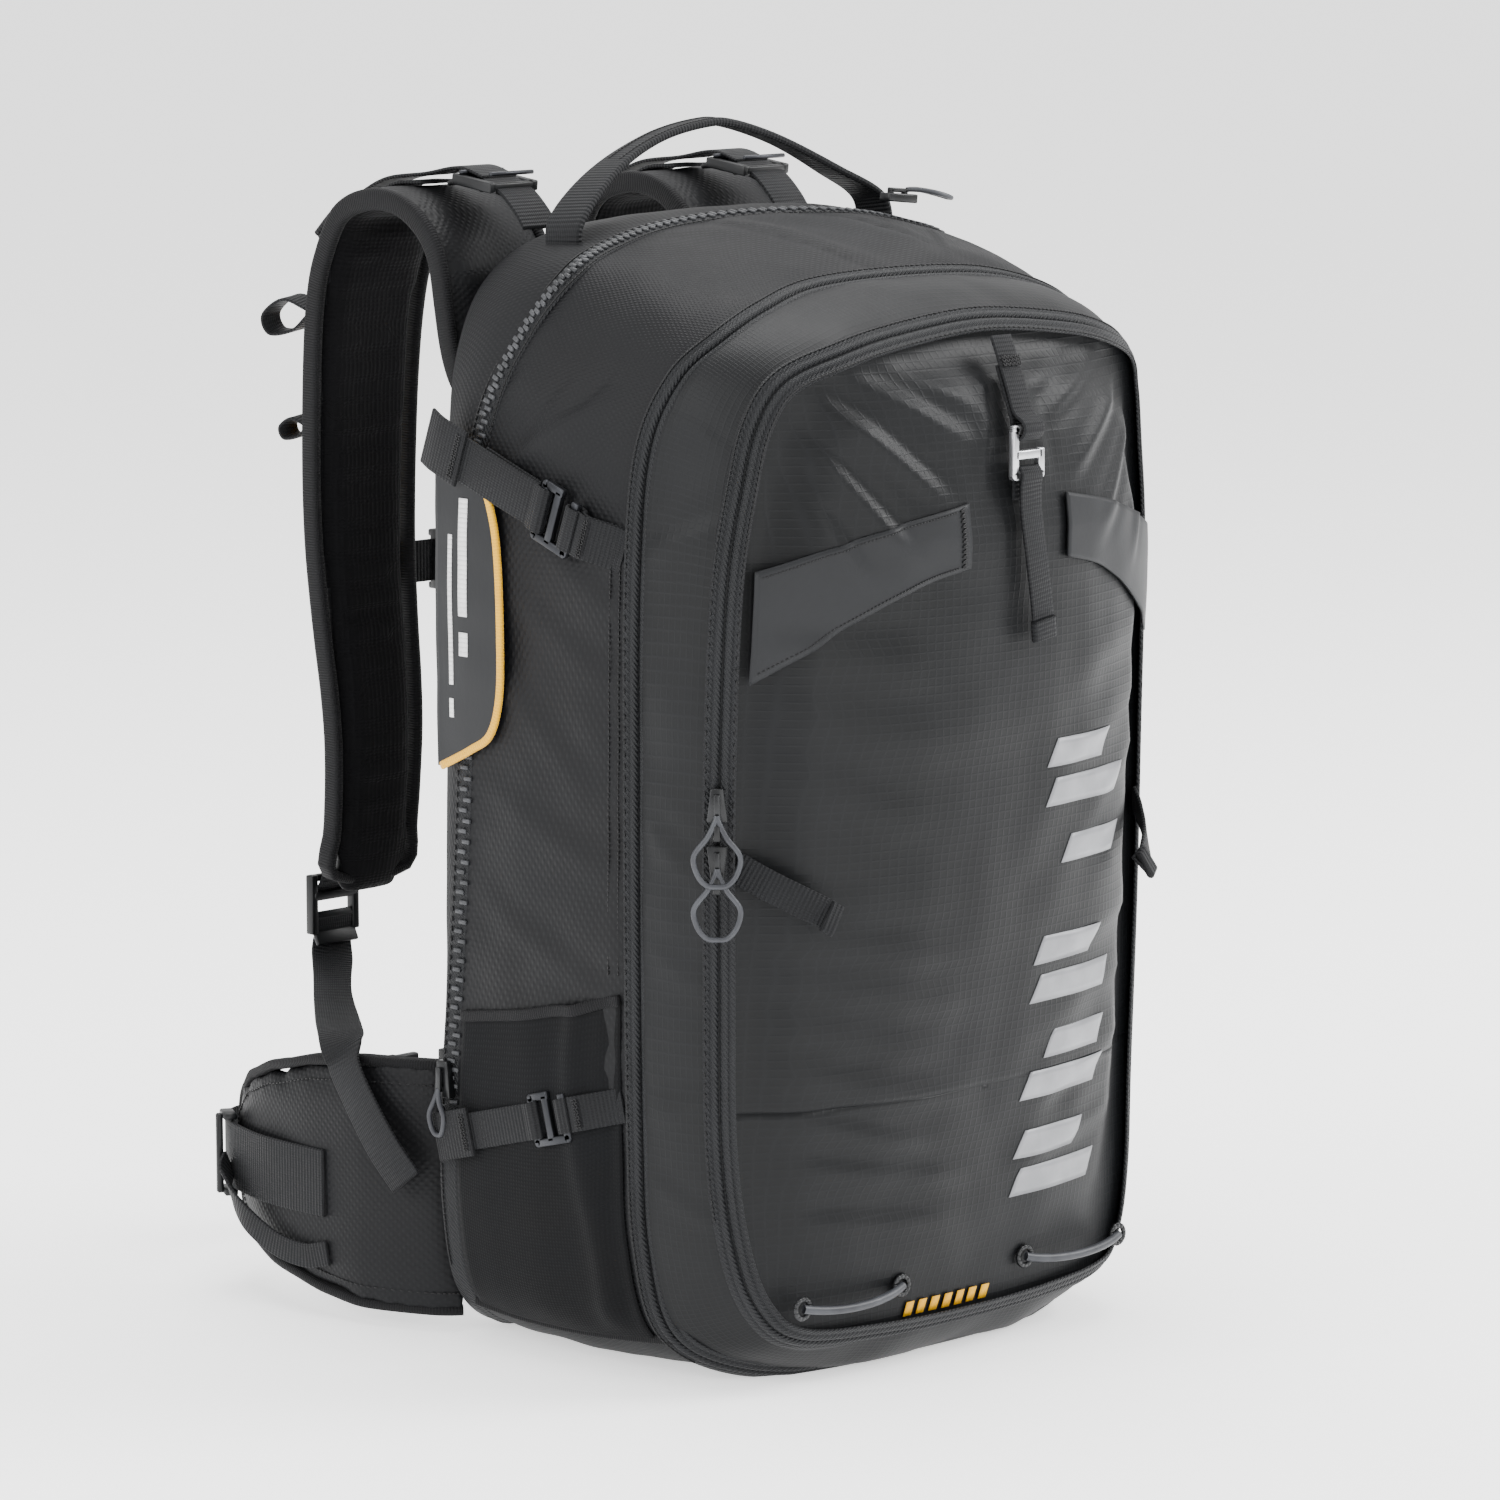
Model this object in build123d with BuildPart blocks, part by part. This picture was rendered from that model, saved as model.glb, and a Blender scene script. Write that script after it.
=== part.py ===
"""Avalanche airbag backpack, in millimetres, +Z up.

Origin: middle of the flat bottom.  The wearer is at +Y, the front panel faces -Y, and -X is the
wearer's left.  Every moving group is modelled where it stands with the pack closed.
"""
from build123d import *
from math import cos, radians, sin
import os

os.makedirs("parts", exist_ok=True)

# ---------------------------------------------------------------- overall sizes
half_width = 138.0          # pack body, half of its width
body_height = 480.0         # bottom to the top of the airbag zip seam
back_plane = 94.0           # wearer side of the shell
front_apex = 126.0          # how far the front panel bulges forward
crown_radius = 70.0         # top corners seen from the front
foot_radius = 38.0          # bottom corners seen from the front
wall = 3.5                  # laminated shell fabric with its foam
gap = 0.3                   # clearance between pieces sewn or laid together

# ---------------------------------------------------------------- front zips and folds
main_side_y = -36.0         # main zip along the sides
main_top_y = -55.0          # main zip over the top
tool_side_y = -76.0         # tool zip along the sides
tool_top_y = -101.0         # tool zip over the top
boot_height = 52.0          # fixed bottom boot under the opening front
lid_height = 200.0          # fold line of the tool lid
divider_y = -47.0           # wall between main and tool compartments
divider_thick = 2.0
tape_thick = 2.0            # zip tape and coil together
tape_width = 6.0            # one half of a coil zip
burst_width = 12.0          # both halves of the burst zip
burst_low_z = 112.0         # where the burst zip starts on each side

# ---------------------------------------------------------------- webbing and hooks
web_thick = 1.6
upper_web = 20.0            # upper compression webbing width
lower_web_width = 16.0      # lower compression webbing width
front_web = 12.0            # front strap webbing width
hook_bar = 4.0              # thickness of the hook's bars
hook_plate = 3.2
hook_reach = 19.0           # bar centre to nose centre
hook_rim = 3.5              # metal beside the webbing slot
nose_play = 1.9             # slack of a catch loop round the hook's nose
strap_stand_off = 4.6       # hook plane outside the widest shell

# ---------------------------------------------------------------- harness
pad_width = 62.0
pad_thick = 12.0
pad_x = 76.0                # shoulder strap centre line
back_pad_thick = 13.5
harness_web = 20.0
sternum_z = 318.0
arch_z = body_height + 6    # centre of the straps' arch over the shoulders
strap_face = back_plane + 110   # centre of the hanging shoulder pads
belt_web = 30.0
belt_z = 60.0
wing_thick = 10.0
buckle_y = back_plane + 168
cable_radius = 2.5
bottle_radius = 21.0
bottle_length = 176.0
loop_radius = 2.0           # bungee cord of the tool loops

big = 700.0                 # longer than the pack, for cutting slabs


def side_profile(grow):
    """Side view of the shell, on the YZ plane, offset outward by grow."""
    with BuildSketch(Plane.YZ) as sk:
        with BuildLine():
            FilletPolyline(
                (back_plane, 0), (back_plane, body_height - 6), (back_plane - 61, body_height),
                (-53, body_height - 21), (-100, body_height - 34), (-front_apex + 8, body_height - 66),
                (-front_apex, body_height - 128), (-front_apex + 34, 34), (-front_apex + 52, 0),
                radius=(14, 14, 60, 60, 30, 50, 90, 22, 22), close=True)
        make_face()
        if grow:
            offset(amount=grow, kind=Kind.INTERSECTION)
    return sk.sketch


def plan_profile(grow):
    """Plan view of the shell at its fullest, on the XY plane, offset outward by grow."""
    w = half_width
    right = [(w - 1, back_plane), (w, back_plane - 34), (w - 5, -42), (w - 13, -78), (w - 42, -front_apex + 20),
             (45, -front_apex)]
    left = [(-x, y) for x, y in reversed(right)]
    with BuildSketch(Plane.XY) as sk:
        with BuildLine():
            FilletPolyline(*(right + left), radius=(12, 60, 60, 26, 50, 90, 90, 50, 26, 60, 60, 12), close=True)
        make_face()
        if grow:
            offset(amount=grow, kind=Kind.INTERSECTION)
    return sk.sketch


def front_profile(grow):
    """Front view of the shell, on the XZ plane, offset outward by grow."""
    w = half_width
    with BuildSketch(Plane.XZ) as sk:
        with BuildLine():
            FilletPolyline(
                (-w + 12, 0), (-w, 96), (-w, body_height), (w, body_height), (w, 96), (w - 12, 0),
                radius=(foot_radius, 160, crown_radius, crown_radius, 160, foot_radius), close=True)
        make_face()
        if grow:
            offset(amount=grow, kind=Kind.INTERSECTION)
    return sk.sketch


def band(line, near, far):
    """YZ sketch of the strip between a polyline shifted by near and by far along Y."""
    pts = [(y + near, z) for y, z in line] + [(y + far, z) for y, z in reversed(line)]
    with BuildSketch(Plane.YZ) as sk:
        with BuildLine():
            Polyline(*pts, close=True)
        make_face()
    return sk.sketch


main_line = [(main_side_y, -20), (main_side_y, body_height - 95), (main_top_y, body_height - 38),
             (main_top_y, body_height + 30)]
tool_line = [(tool_side_y, -20), (tool_side_y, 280), (tool_side_y - 7, body_height - 95),
             (tool_top_y, body_height - 40),
             (tool_top_y - 4, body_height + 30)]
burst_line = [(back_plane - 14, burst_low_z), (back_plane - 28, 256), (back_plane - 32, body_height - 90),
              (back_plane - 39, body_height - 51), (back_plane - 66, body_height - 17),
              (back_plane - 64, body_height + 30)]

# ---------------------------------------------------------------- the shell's form and its offsets
with BuildPart() as form:
    extrude(side_profile(0), amount=big / 2, both=True)
    extrude(plan_profile(0), amount=big, both=True, mode=Mode.INTERSECT)
    extrude(front_profile(0), amount=big, both=True, mode=Mode.INTERSECT)

with BuildPart() as lining:
    extrude(side_profile(-wall), amount=big / 2, both=True)
    extrude(plan_profile(-wall), amount=big, both=True, mode=Mode.INTERSECT)
    extrude(front_profile(-wall), amount=big, both=True, mode=Mode.INTERSECT)

with BuildPart() as skin_in:
    extrude(side_profile(gap), amount=big / 2, both=True)
    extrude(plan_profile(gap), amount=big, both=True, mode=Mode.INTERSECT)
    extrude(front_profile(gap), amount=big, both=True, mode=Mode.INTERSECT)

with BuildPart() as skin_out:
    extrude(side_profile(gap + tape_thick), amount=big / 2, both=True)
    extrude(plan_profile(gap + tape_thick), amount=big, both=True, mode=Mode.INTERSECT)
    extrude(front_profile(gap + tape_thick), amount=big, both=True, mode=Mode.INTERSECT)

with BuildPart() as shell:
    add(form.part)
    add(lining.part, mode=Mode.SUBTRACT)

with BuildPart() as tape_skin:
    add(skin_out.part)
    add(skin_in.part, mode=Mode.SUBTRACT)

# ---------------------------------------------------------------- pack body
with BuildPart() as back_tub:
    add(shell.part)
    extrude(band(main_line, gap / 2, 400), amount=big / 2, both=True, mode=Mode.INTERSECT)

with BuildPart() as bottom_boot:
    add(shell.part)
    extrude(band(main_line, -400, -gap / 2), amount=big / 2, both=True, mode=Mode.INTERSECT)
    with Locations((0, 0, boot_height - big / 2)):
        Box(big, big, big, mode=Mode.INTERSECT)

with BuildPart() as airbag_zip:
    add(tape_skin.part)
    extrude(band(burst_line, -burst_width / 2, burst_width / 2), amount=big / 2, both=True,
            mode=Mode.INTERSECT)

with BuildPart() as main_zip_tub:
    add(tape_skin.part)
    extrude(band(main_line, gap / 2, tape_width), amount=big / 2, both=True, mode=Mode.INTERSECT)
    with Locations((0, 0, boot_height + big / 2)):
        Box(big, big, big, mode=Mode.INTERSECT)

# back pad, cut back at the lower corners for the hip wings and at the top for the straps
pad_low, pad_high, pad_half = 24.0, body_height - 78, half_width - 34
with BuildPart() as back_pad:
    with BuildSketch(Plane.XZ.offset(-back_plane - gap)):
        with Locations((0, (pad_low + pad_high) / 2)):
            RectangleRounded(2 * pad_half, pad_high - pad_low, 26)
    extrude(amount=-back_pad_thick)
    fillet(back_pad.faces().sort_by(Axis.Y)[-1].edges(), 5)

sheet_y, sheet_thick = back_plane - wall - gap, 2.0
with BuildPart() as frame_sheet:
    with BuildSketch(Plane.XZ.offset(-sheet_y)):
        with Locations((0, (body_height - 16) / 2)):
            RectangleRounded(2 * (half_width - 28), body_height - 80, 30)
    extrude(amount=sheet_thick)

stay_y, stay_thick = sheet_y - sheet_thick - gap, 3.0
with BuildPart() as frame_stay:
    with BuildSketch(Plane.XZ.offset(-stay_y)):
        with Locations((0, (body_height - 16) / 2)):
            RectangleRounded(20, body_height - 100, 8)
    extrude(amount=stay_thick)

packet_y, packet_depth = back_plane - 56, 34.0
with BuildPart() as airbag_packet:
    with BuildSketch(Plane.XZ.offset(-packet_y)):
        with Locations((0, 150)):
            Rectangle(2 * (half_width - 12), body_height - 30 - 150, align=(Align.CENTER, Align.MIN))
        with Locations((0, 150)):
            Rectangle(2 * (half_width - 50), body_height - 74 - 150, align=(Align.CENTER, Align.MIN),
                      mode=Mode.SUBTRACT)
    extrude(amount=-packet_depth)
    fillet(airbag_packet.edges().filter_by(Axis.Y).group_by(Axis.Z)[-1], 58)

bottle_x, bottle_y, bottle_z = -(half_width - 92), back_plane - 38, 60.0
head_z = bottle_z + bottle_length + gap
with BuildPart() as gas_bottle:
    with Locations((bottle_x, bottle_y, bottle_z)):
        Cylinder(bottle_radius, bottle_length - 22, align=(Align.CENTER, Align.CENTER, Align.MIN))
    fillet(gas_bottle.edges().group_by(Axis.Z)[0], 8)
    with Locations((bottle_x, bottle_y, bottle_z + bottle_length - 22)):
        Cone(bottle_radius, 9, 14, align=(Align.CENTER, Align.CENTER, Align.MIN))
    with Locations((bottle_x, bottle_y, bottle_z + bottle_length - 8)):
        Cylinder(9, 8, align=(Align.CENTER, Align.CENTER, Align.MIN))

with BuildPart() as inflation_head:
    with Locations((bottle_x + 16, bottle_y, head_z)):
        Box(66, 34, 40, align=(Align.CENTER, Align.CENTER, Align.MIN))
    fillet(inflation_head.edges().filter_by(Axis.Z), 6)
    with Locations((bottle_x + 30, bottle_y, head_z + 40)):
        Cylinder(12, 16, align=(Align.CENTER, Align.CENTER, Align.MIN))
    with Locations((bottle_x, bottle_y, head_z + 40)):
        Cylinder(6, 9, align=(Align.CENTER, Align.CENTER, Align.MIN))

cable_z = head_z + 49 + gap
cable_top_z = body_height - 40
cable_y = back_plane - 15
with BuildPart() as trigger_cable:
    with BuildLine() as cable_line:
        FilletPolyline(
            (bottle_x, bottle_y, cable_z), (bottle_x, bottle_y, cable_z + 50), (bottle_x, cable_y, cable_z + 85),
            (-pad_x, cable_y, cable_top_z), radius=(30, 30))
    with BuildSketch(Plane(origin=cable_line.line @ 0, z_dir=cable_line.line % 0)):
        Circle(cable_radius)
    sweep()

# slider bodies of the burst zip, one at its low left end and one high on the right
with BuildPart() as airbag_sliders:
    with Locations((-half_width - gap - tape_thick - gap - 3, back_plane - 14.5, burst_low_z + 6)):
        Box(6, 11, 16)
    fillet(airbag_sliders.edges().filter_by(Axis.X), 2)
    with Locations(Pos(76, back_plane - 64.5, body_height + gap + tape_thick + gap + 3)):
        Box(16, 11, 6)

# haul handle of doubled webbing, standing up from both top corners
handle_y = back_plane - 34
handle_half = half_width - 45
with BuildPart() as haul_handle:
    with BuildSketch(Plane.XZ.offset(-handle_y - harness_web / 2)):
        with BuildLine():
            FilletPolyline(
                (-handle_half, body_height - 3), (-handle_half + 5, body_height + 9),
                (-handle_half + 43, body_height + 32), (0, body_height + 39), (handle_half - 43, body_height + 32),
                (handle_half - 5, body_height + 9), (handle_half, body_height - 3),
                radius=(8, 26, 110, 26, 8))
        trace(line_width=3.2)
    extrude(amount=harness_web)

# ---------------------------------------------------------------- side compression straps


def hook_frame(y, z, slope):
    """Frame on the left flank: x runs forward along the strap, z points outward."""
    a = radians(slope)
    return Plane(origin=(-half_width - strap_stand_off, y, z), x_dir=(0, -cos(a), -sin(a)), z_dir=(-1, 0, 0))


def edge_frame(y, z, slope):
    """The same frame turned so that a sketch shows the webbing's edge."""
    a = radians(slope)
    return Plane(origin=(-half_width - strap_stand_off, y, z), x_dir=(0, -cos(a), -sin(a)),
                 z_dir=(0, sin(a), -cos(a)))


def hook_sketch(width):
    """Flat hook: webbing slot behind, open-sided mouth in front."""
    half = width / 2 + hook_rim
    with Locations((-hook_bar / 2, 0)):
        Rectangle(hook_reach + hook_bar, 2 * half, align=(Align.MIN, Align.CENTER))
    with Locations((hook_bar / 2, 0)):
        Rectangle(4.6, width + 1.2, align=(Align.MIN, Align.CENTER), mode=Mode.SUBTRACT)
    with Locations((hook_bar / 2 + 8.4, half)):
        Rectangle(hook_reach - hook_bar - 8.4, width + 1.2 + hook_rim, align=(Align.MIN, Align.MAX),
                  mode=Mode.SUBTRACT)


def strap_edge(length):
    """Edge view of a strap: a long run and the loop that goes round the hook's bar."""
    ring = hook_bar / 2 + 0.7
    with Locations((-length, 0)):
        Rectangle(length - ring - web_thick / 2, web_thick, align=(Align.MIN, Align.CENTER))
    Circle(ring + web_thick)
    Circle(ring, mode=Mode.SUBTRACT)


def catch_edge(length):
    """Edge view of a catch loop: round the hook's nose and on to its seam."""
    ring = hook_bar / 2 + nose_play
    start = hook_reach + ring + web_thick / 2
    with Locations((start, 0)):
        Rectangle(length - start, web_thick, align=(Align.MIN, Align.CENTER))
    with Locations((hook_reach, 0)):
        Circle(ring + web_thick)
        Circle(ring, mode=Mode.SUBTRACT)


upper_at = (14.0, 367.5, 20.0)      # y, z and slope of the upper hook
lower_at = (20.0, 107.0, -15.0)     # y, z and slope of the lower hook
upper_run, upper_catch_run = 82.0, 43.0
lower_run, lower_catch_run = 70.0, 46.0

with BuildPart() as side_straps_left:
    with BuildSketch(edge_frame(*upper_at)):
        strap_edge(upper_run)
    extrude(amount=upper_web / 2, both=True)
    with BuildSketch(edge_frame(*lower_at)):
        strap_edge(lower_run)
    extrude(amount=lower_web_width / 2, both=True)

with BuildPart() as catch_loops_left:
    with BuildSketch(edge_frame(*upper_at)):
        catch_edge(upper_catch_run)
    extrude(amount=upper_web / 2 - 0.4, both=True)
    with BuildSketch(edge_frame(*lower_at)):
        catch_edge(lower_catch_run)
    extrude(amount=lower_web_width / 2 - 0.4, both=True)

with BuildPart() as upper_hook_left:
    with BuildSketch(hook_frame(*upper_at)):
        hook_sketch(upper_web)
    extrude(amount=hook_plate / 2, both=True)

with BuildPart() as lower_hook_left:
    with BuildSketch(hook_frame(*lower_at)):
        hook_sketch(lower_web_width)
    extrude(amount=hook_plate / 2, both=True)

# cover flap over the start of the burst zip, left side only
with BuildPart() as burst_flap:
    with BuildSketch(Plane.YZ.offset(-half_width - gap - tape_thick - gap)):
        with BuildLine():
            FilletPolyline(
                (back_plane - 12, 258), (back_plane - 50, 268), (back_plane - 54, 300), (back_plane - 52, 352),
                (back_plane - 40, 374), (back_plane - 14, 386), radius=(4, 10, 20, 16, 12, 4), close=True)
        make_face()
    extrude(amount=-1.2)

# ---------------------------------------------------------------- bungee tool loops on the boot
loop_y = -front_apex + 34 - loop_radius - 1.5
with BuildPart() as tool_loops:
    for side in (-1, 1):
        with BuildLine() as loop_line:
            FilletPolyline((side * 97, loop_y + 1, 37), (side * 84, loop_y - 3, 34), (side * 50, loop_y - 3, 34),
                           (side * 38, loop_y + 1, 37), radius=(16, 16))
        with BuildSketch(Plane(origin=loop_line.line @ 0, z_dir=loop_line.line % 0)):
            Circle(loop_radius)
        sweep()

# ---------------------------------------------------------------- opening front section
with BuildPart() as front_frame:
    add(shell.part)
    extrude(band(main_line, -400, -gap / 2), amount=big / 2, both=True, mode=Mode.INTERSECT)
    extrude(band(tool_line, -400, gap / 2), amount=big / 2, both=True, mode=Mode.SUBTRACT)
    with Locations((0, 0, boot_height + gap + big / 2)):
        Box(big, big, big, mode=Mode.INTERSECT)

with BuildPart() as lower_front:
    add(shell.part)
    extrude(band(tool_line, -400, -gap / 2), amount=big / 2, both=True, mode=Mode.INTERSECT)
    with Locations((0, 0, boot_height + gap)):
        Box(big, big, lid_height - gap / 2 - boot_height - gap, align=(Align.CENTER, Align.CENTER, Align.MIN),
            mode=Mode.INTERSECT)

divider_low, divider_high = boot_height + 2, body_height - 40
with BuildPart() as tool_divider:
    with BuildSketch(Plane.XZ.offset(-divider_y)):
        with Locations((0, (divider_low + divider_high) / 2)):
            RectangleRounded(2 * (half_width - 12), divider_high - divider_low, 42)
    extrude(amount=divider_thick)

with BuildPart() as main_zip_front:
    add(tape_skin.part)
    extrude(band(main_line, -tape_width, -gap / 2), amount=big / 2, both=True, mode=Mode.INTERSECT)
    with Locations((0, 0, boot_height + gap + big / 2)):
        Box(big, big, big, mode=Mode.INTERSECT)

with BuildPart() as tool_zip_inner:
    add(tape_skin.part)
    extrude(band(tool_line, gap / 2, tape_width), amount=big / 2, both=True, mode=Mode.INTERSECT)
    with Locations((0, 0, lid_height + big / 2)):
        Box(big, big, big, mode=Mode.INTERSECT)

# ---------------------------------------------------------------- tool lid
with BuildPart() as tool_lid:
    add(shell.part)
    extrude(band(tool_line, -400, -gap / 2), amount=big / 2, both=True, mode=Mode.INTERSECT)
    with Locations((0, 0, lid_height + gap / 2 + big / 2)):
        Box(big, big, big, mode=Mode.INTERSECT)

with BuildPart() as tool_zip_outer:
    add(tape_skin.part)
    extrude(band(tool_line, -tape_width, -gap / 2), amount=big / 2, both=True, mode=Mode.INTERSECT)
    with Locations((0, 0, lid_height + gap / 2 + big / 2)):
        Box(big, big, big, mode=Mode.INTERSECT)

with BuildPart() as wing_patches:
    add(tape_skin.part)
    with BuildSketch(Plane.XZ):
        for side in (-1, 1):
            with BuildLine():
                Polyline((side * 30, 344.5), (side * 30, 372), (side * (half_width - 24), 348),
                         (side * (half_width - 21), 303), close=True)
            make_face()
    extrude(amount=big, mode=Mode.INTERSECT)
    extrude(band(tool_line, -400, -tape_width - gap), amount=big / 2, both=True, mode=Mode.INTERSECT)

# hook hanging in the loop sewn to the lid, with its adjusting tail
hook_y = -front_apex - 2.5
hook_z = body_height - 98
nose_ring = hook_bar / 2 + nose_play
with BuildPart() as front_strap:
    with BuildSketch(Plane.YZ):
        with BuildLine():
            FilletPolyline((hook_y + 9.6, hook_z + 46), (hook_y + 6.5, hook_z + 35),
                           (hook_y, hook_z + hook_reach + nose_ring + web_thick / 2), radius=(14,))
        trace(line_width=web_thick)
        with Locations((hook_y, hook_z + hook_reach)):
            Circle(nose_ring + web_thick)
            Circle(nose_ring, mode=Mode.SUBTRACT)
    extrude(amount=front_web / 2 - 0.4, both=True)

bar_ring = hook_bar / 2 + 0.7
with BuildPart() as front_tail:
    with BuildSketch(Plane.YZ):
        with BuildLine():
            FilletPolyline((hook_y, hook_z - bar_ring - web_thick / 2), (hook_y - 1.5, hook_z - 34),
                           (hook_y - 0.5, hook_z - 64), radius=(60,))
        trace(line_width=web_thick)
        with Locations((hook_y, hook_z)):
            Circle(bar_ring + web_thick)
            Circle(bar_ring, mode=Mode.SUBTRACT)
    extrude(amount=front_web / 2, both=True)

with BuildPart() as front_hook:
    with BuildSketch(Plane(origin=(0, hook_y, hook_z), x_dir=(0, 0, 1), z_dir=(0, 1, 0))):
        hook_sketch(front_web)
    extrude(amount=hook_plate / 2, both=True)

# ---------------------------------------------------------------- coil zip sliders
slider_w, slider_l, slider_t = 9.0, 15.0, 3.4
tool_slider_z, tool_low_z = 252.0, 230.0
tool_skin_x = -(half_width - 10.6) - gap - tape_thick - gap

with BuildPart() as tool_slider:
    with Locations((tool_skin_x, tool_side_y, tool_slider_z)):
        Box(slider_t, slider_w, slider_l, align=(Align.MAX, Align.CENTER, Align.CENTER))
    fillet(tool_slider.edges().filter_by(Axis.X), 2.5)

with BuildPart() as tool_slider_low:
    with Locations((tool_skin_x, tool_side_y, tool_low_z)):
        Box(slider_t, slider_w, slider_l, align=(Align.MAX, Align.CENTER, Align.CENTER))
    fillet(tool_slider_low.edges().filter_by(Axis.X), 2.5)

pull_gap = 1.1
pull_x = tool_skin_x - slider_t - pull_gap
with BuildPart() as tool_pull:
    with BuildSketch(Plane.YZ.offset(pull_x)):
        with Locations((tool_side_y, tool_slider_z - 15)):
            RectangleRounded(12, 34, 5)
            RectangleRounded(7, 26, 3, mode=Mode.SUBTRACT)
    extrude(amount=-2.4)

main_slider_z = 72.0
main_skin_x = half_width - 4.0 + gap + tape_thick + gap
with BuildPart() as main_slider:
    with Locations((main_skin_x, main_side_y, main_slider_z)):
        Box(slider_t, slider_w, slider_l, align=(Align.MIN, Align.CENTER, Align.CENTER))
    fillet(main_slider.edges().filter_by(Axis.X), 2.5)

with BuildPart() as main_pull:
    with BuildSketch(Plane.YZ.offset(main_skin_x + slider_t + pull_gap)):
        with Locations((main_side_y, main_slider_z - 12)):
            RectangleRounded(12, 30, 5)
            RectangleRounded(7, 22, 3, mode=Mode.SUBTRACT)
    extrude(amount=2.4)

# ---------------------------------------------------------------- shoulder straps
pad_root_y = back_plane + back_pad_thick + pad_thick / 2 + 1.5
pad_line = [(pad_root_y, arch_z - 74), (pad_root_y + 1, arch_z - 22), (back_plane + 48, arch_z),
            (back_plane + 86, arch_z - 2), (strap_face - 5, arch_z - 42), (strap_face, arch_z - 156),
            (strap_face - 5, 252), (strap_face + 6, 170)]
with BuildPart() as shoulder_pad_left:
    with BuildSketch(Plane.YZ.offset(-pad_x)):
        with BuildLine():
            FilletPolyline(*pad_line, radius=(22, 34, 26, 90, 160, 90))
        trace(line_width=pad_thick)
    extrude(amount=pad_width / 2, both=True)

with BuildPart() as locks_left:
    with Locations((-pad_x, strap_face + 24, 166)):
        Box(26, 6, 30)
        with Locations((0, 0, 7), (0, 0, -7)):
            Box(harness_web + 1, 8, 3.6, mode=Mode.SUBTRACT)
    with Locations((-pad_x, back_plane + 21, arch_z + pad_thick / 2 + 6)):
        Box(26, 26, 5)
        with Locations((0, -7, 0), (0, 6, 0)):
            Box(harness_web + 1, 3.6, 8, mode=Mode.SUBTRACT)

# adjusting webbing: down from the lock, over the wing's top edge and across its outer face
web_x = -half_width - 13
web_stations = [
    ((-pad_x - 2, strap_face + 23.5, 149), (1, 0, 0)), ((-pad_x - 3, strap_face + 21.5, 142), (1, 0, 0)),
    ((web_x + 37, back_plane + 88, 131), (0.8, -0.6, 0)), ((web_x + 3, back_plane + 50, 124.5), (0.5, -0.8, 0.3)),
    ((web_x, back_plane + 39, 112), (0, -1, 0.8)), ((web_x, back_plane + 14, 80), (0, -1, 0.8)),
    ((web_x + 5.5, back_plane + 3, 64), (0, -1, 0.8)),
]
with BuildPart() as lower_web_left:
    for i, (point, across) in enumerate(web_stations):
        before = Vector(*web_stations[max(i - 1, 0)][0])
        after = Vector(*web_stations[min(i + 1, len(web_stations) - 1)][0])
        with BuildSketch(Plane(origin=point, x_dir=across, z_dir=after - before)):
            Rectangle(harness_web, web_thick)
    loft(ruled=True)

with BuildPart() as lifter_web_left:
    with BuildSketch(Plane.YZ.offset(-pad_x)):
        with BuildLine():
            FilletPolyline((back_plane - 10, arch_z - 6), (back_plane - 1, arch_z - 1), (back_plane + 7, arch_z + 7), radius=(6,))
        trace(line_width=web_thick)
    extrude(amount=harness_web / 2, both=True)

# ---------------------------------------------------------------- sternum strap
sternum_y = strap_face + pad_thick / 2 + 3.4
with BuildPart() as sternum_web_left:
    with Locations((-22.6, sternum_y, sternum_z)):
        Box(pad_x - 18, web_thick, harness_web, align=(Align.MAX, Align.CENTER, Align.CENTER))

with BuildPart() as sternum_female:
    with Locations((-22, sternum_y, sternum_z)):
        Box(30, 9, 28, align=(Align.MIN, Align.CENTER, Align.CENTER))
    fillet(sternum_female.edges().filter_by(Axis.Y), 4)
    with Locations((8, sternum_y, sternum_z)):
        Box(24, 5.2, 20.4, align=(Align.MAX, Align.CENTER, Align.CENTER), mode=Mode.SUBTRACT)

with BuildPart() as sternum_male:
    with Locations((8.3, sternum_y, sternum_z)):
        Box(13, 8, 26, align=(Align.MIN, Align.CENTER, Align.CENTER))
        Box(21, 4.4, 19.6, align=(Align.MAX, Align.CENTER, Align.CENTER))
        with Locations((-12, 0, 0)):
            Box(12, 6, 9, mode=Mode.SUBTRACT)

with BuildPart() as sternum_web_right:
    with Locations((21.6, sternum_y, sternum_z)):
        Box(pad_x + 4, web_thick, harness_web, align=(Align.MIN, Align.CENTER, Align.CENTER))

# webbing keeper on each pad: a bridge over the sternum webbing
with BuildPart() as sternum_slider_left:
    with Locations((-pad_x, sternum_y, sternum_z)):
        Box(16, 5.6, harness_web + 9)
        Box(20, web_thick + 0.8, harness_web + 0.8, mode=Mode.SUBTRACT)

# trigger handle on the left strap, held in a short sleeve
handle_x, handle_z = -pad_x, 398.0
handle_face = strap_face + pad_thick / 2 + 1.3
with BuildPart() as trigger_handle:
    with Locations((handle_x, handle_face, handle_z - 58)):
        Box(24, 10, 58, align=(Align.CENTER, Align.MIN, Align.MIN))
    fillet(trigger_handle.edges().filter_by(Axis.Z), 3)
    with Locations((handle_x, handle_face + 5, handle_z)):
        Cylinder(4, 26, align=(Align.CENTER, Align.CENTER, Align.MIN))

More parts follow.
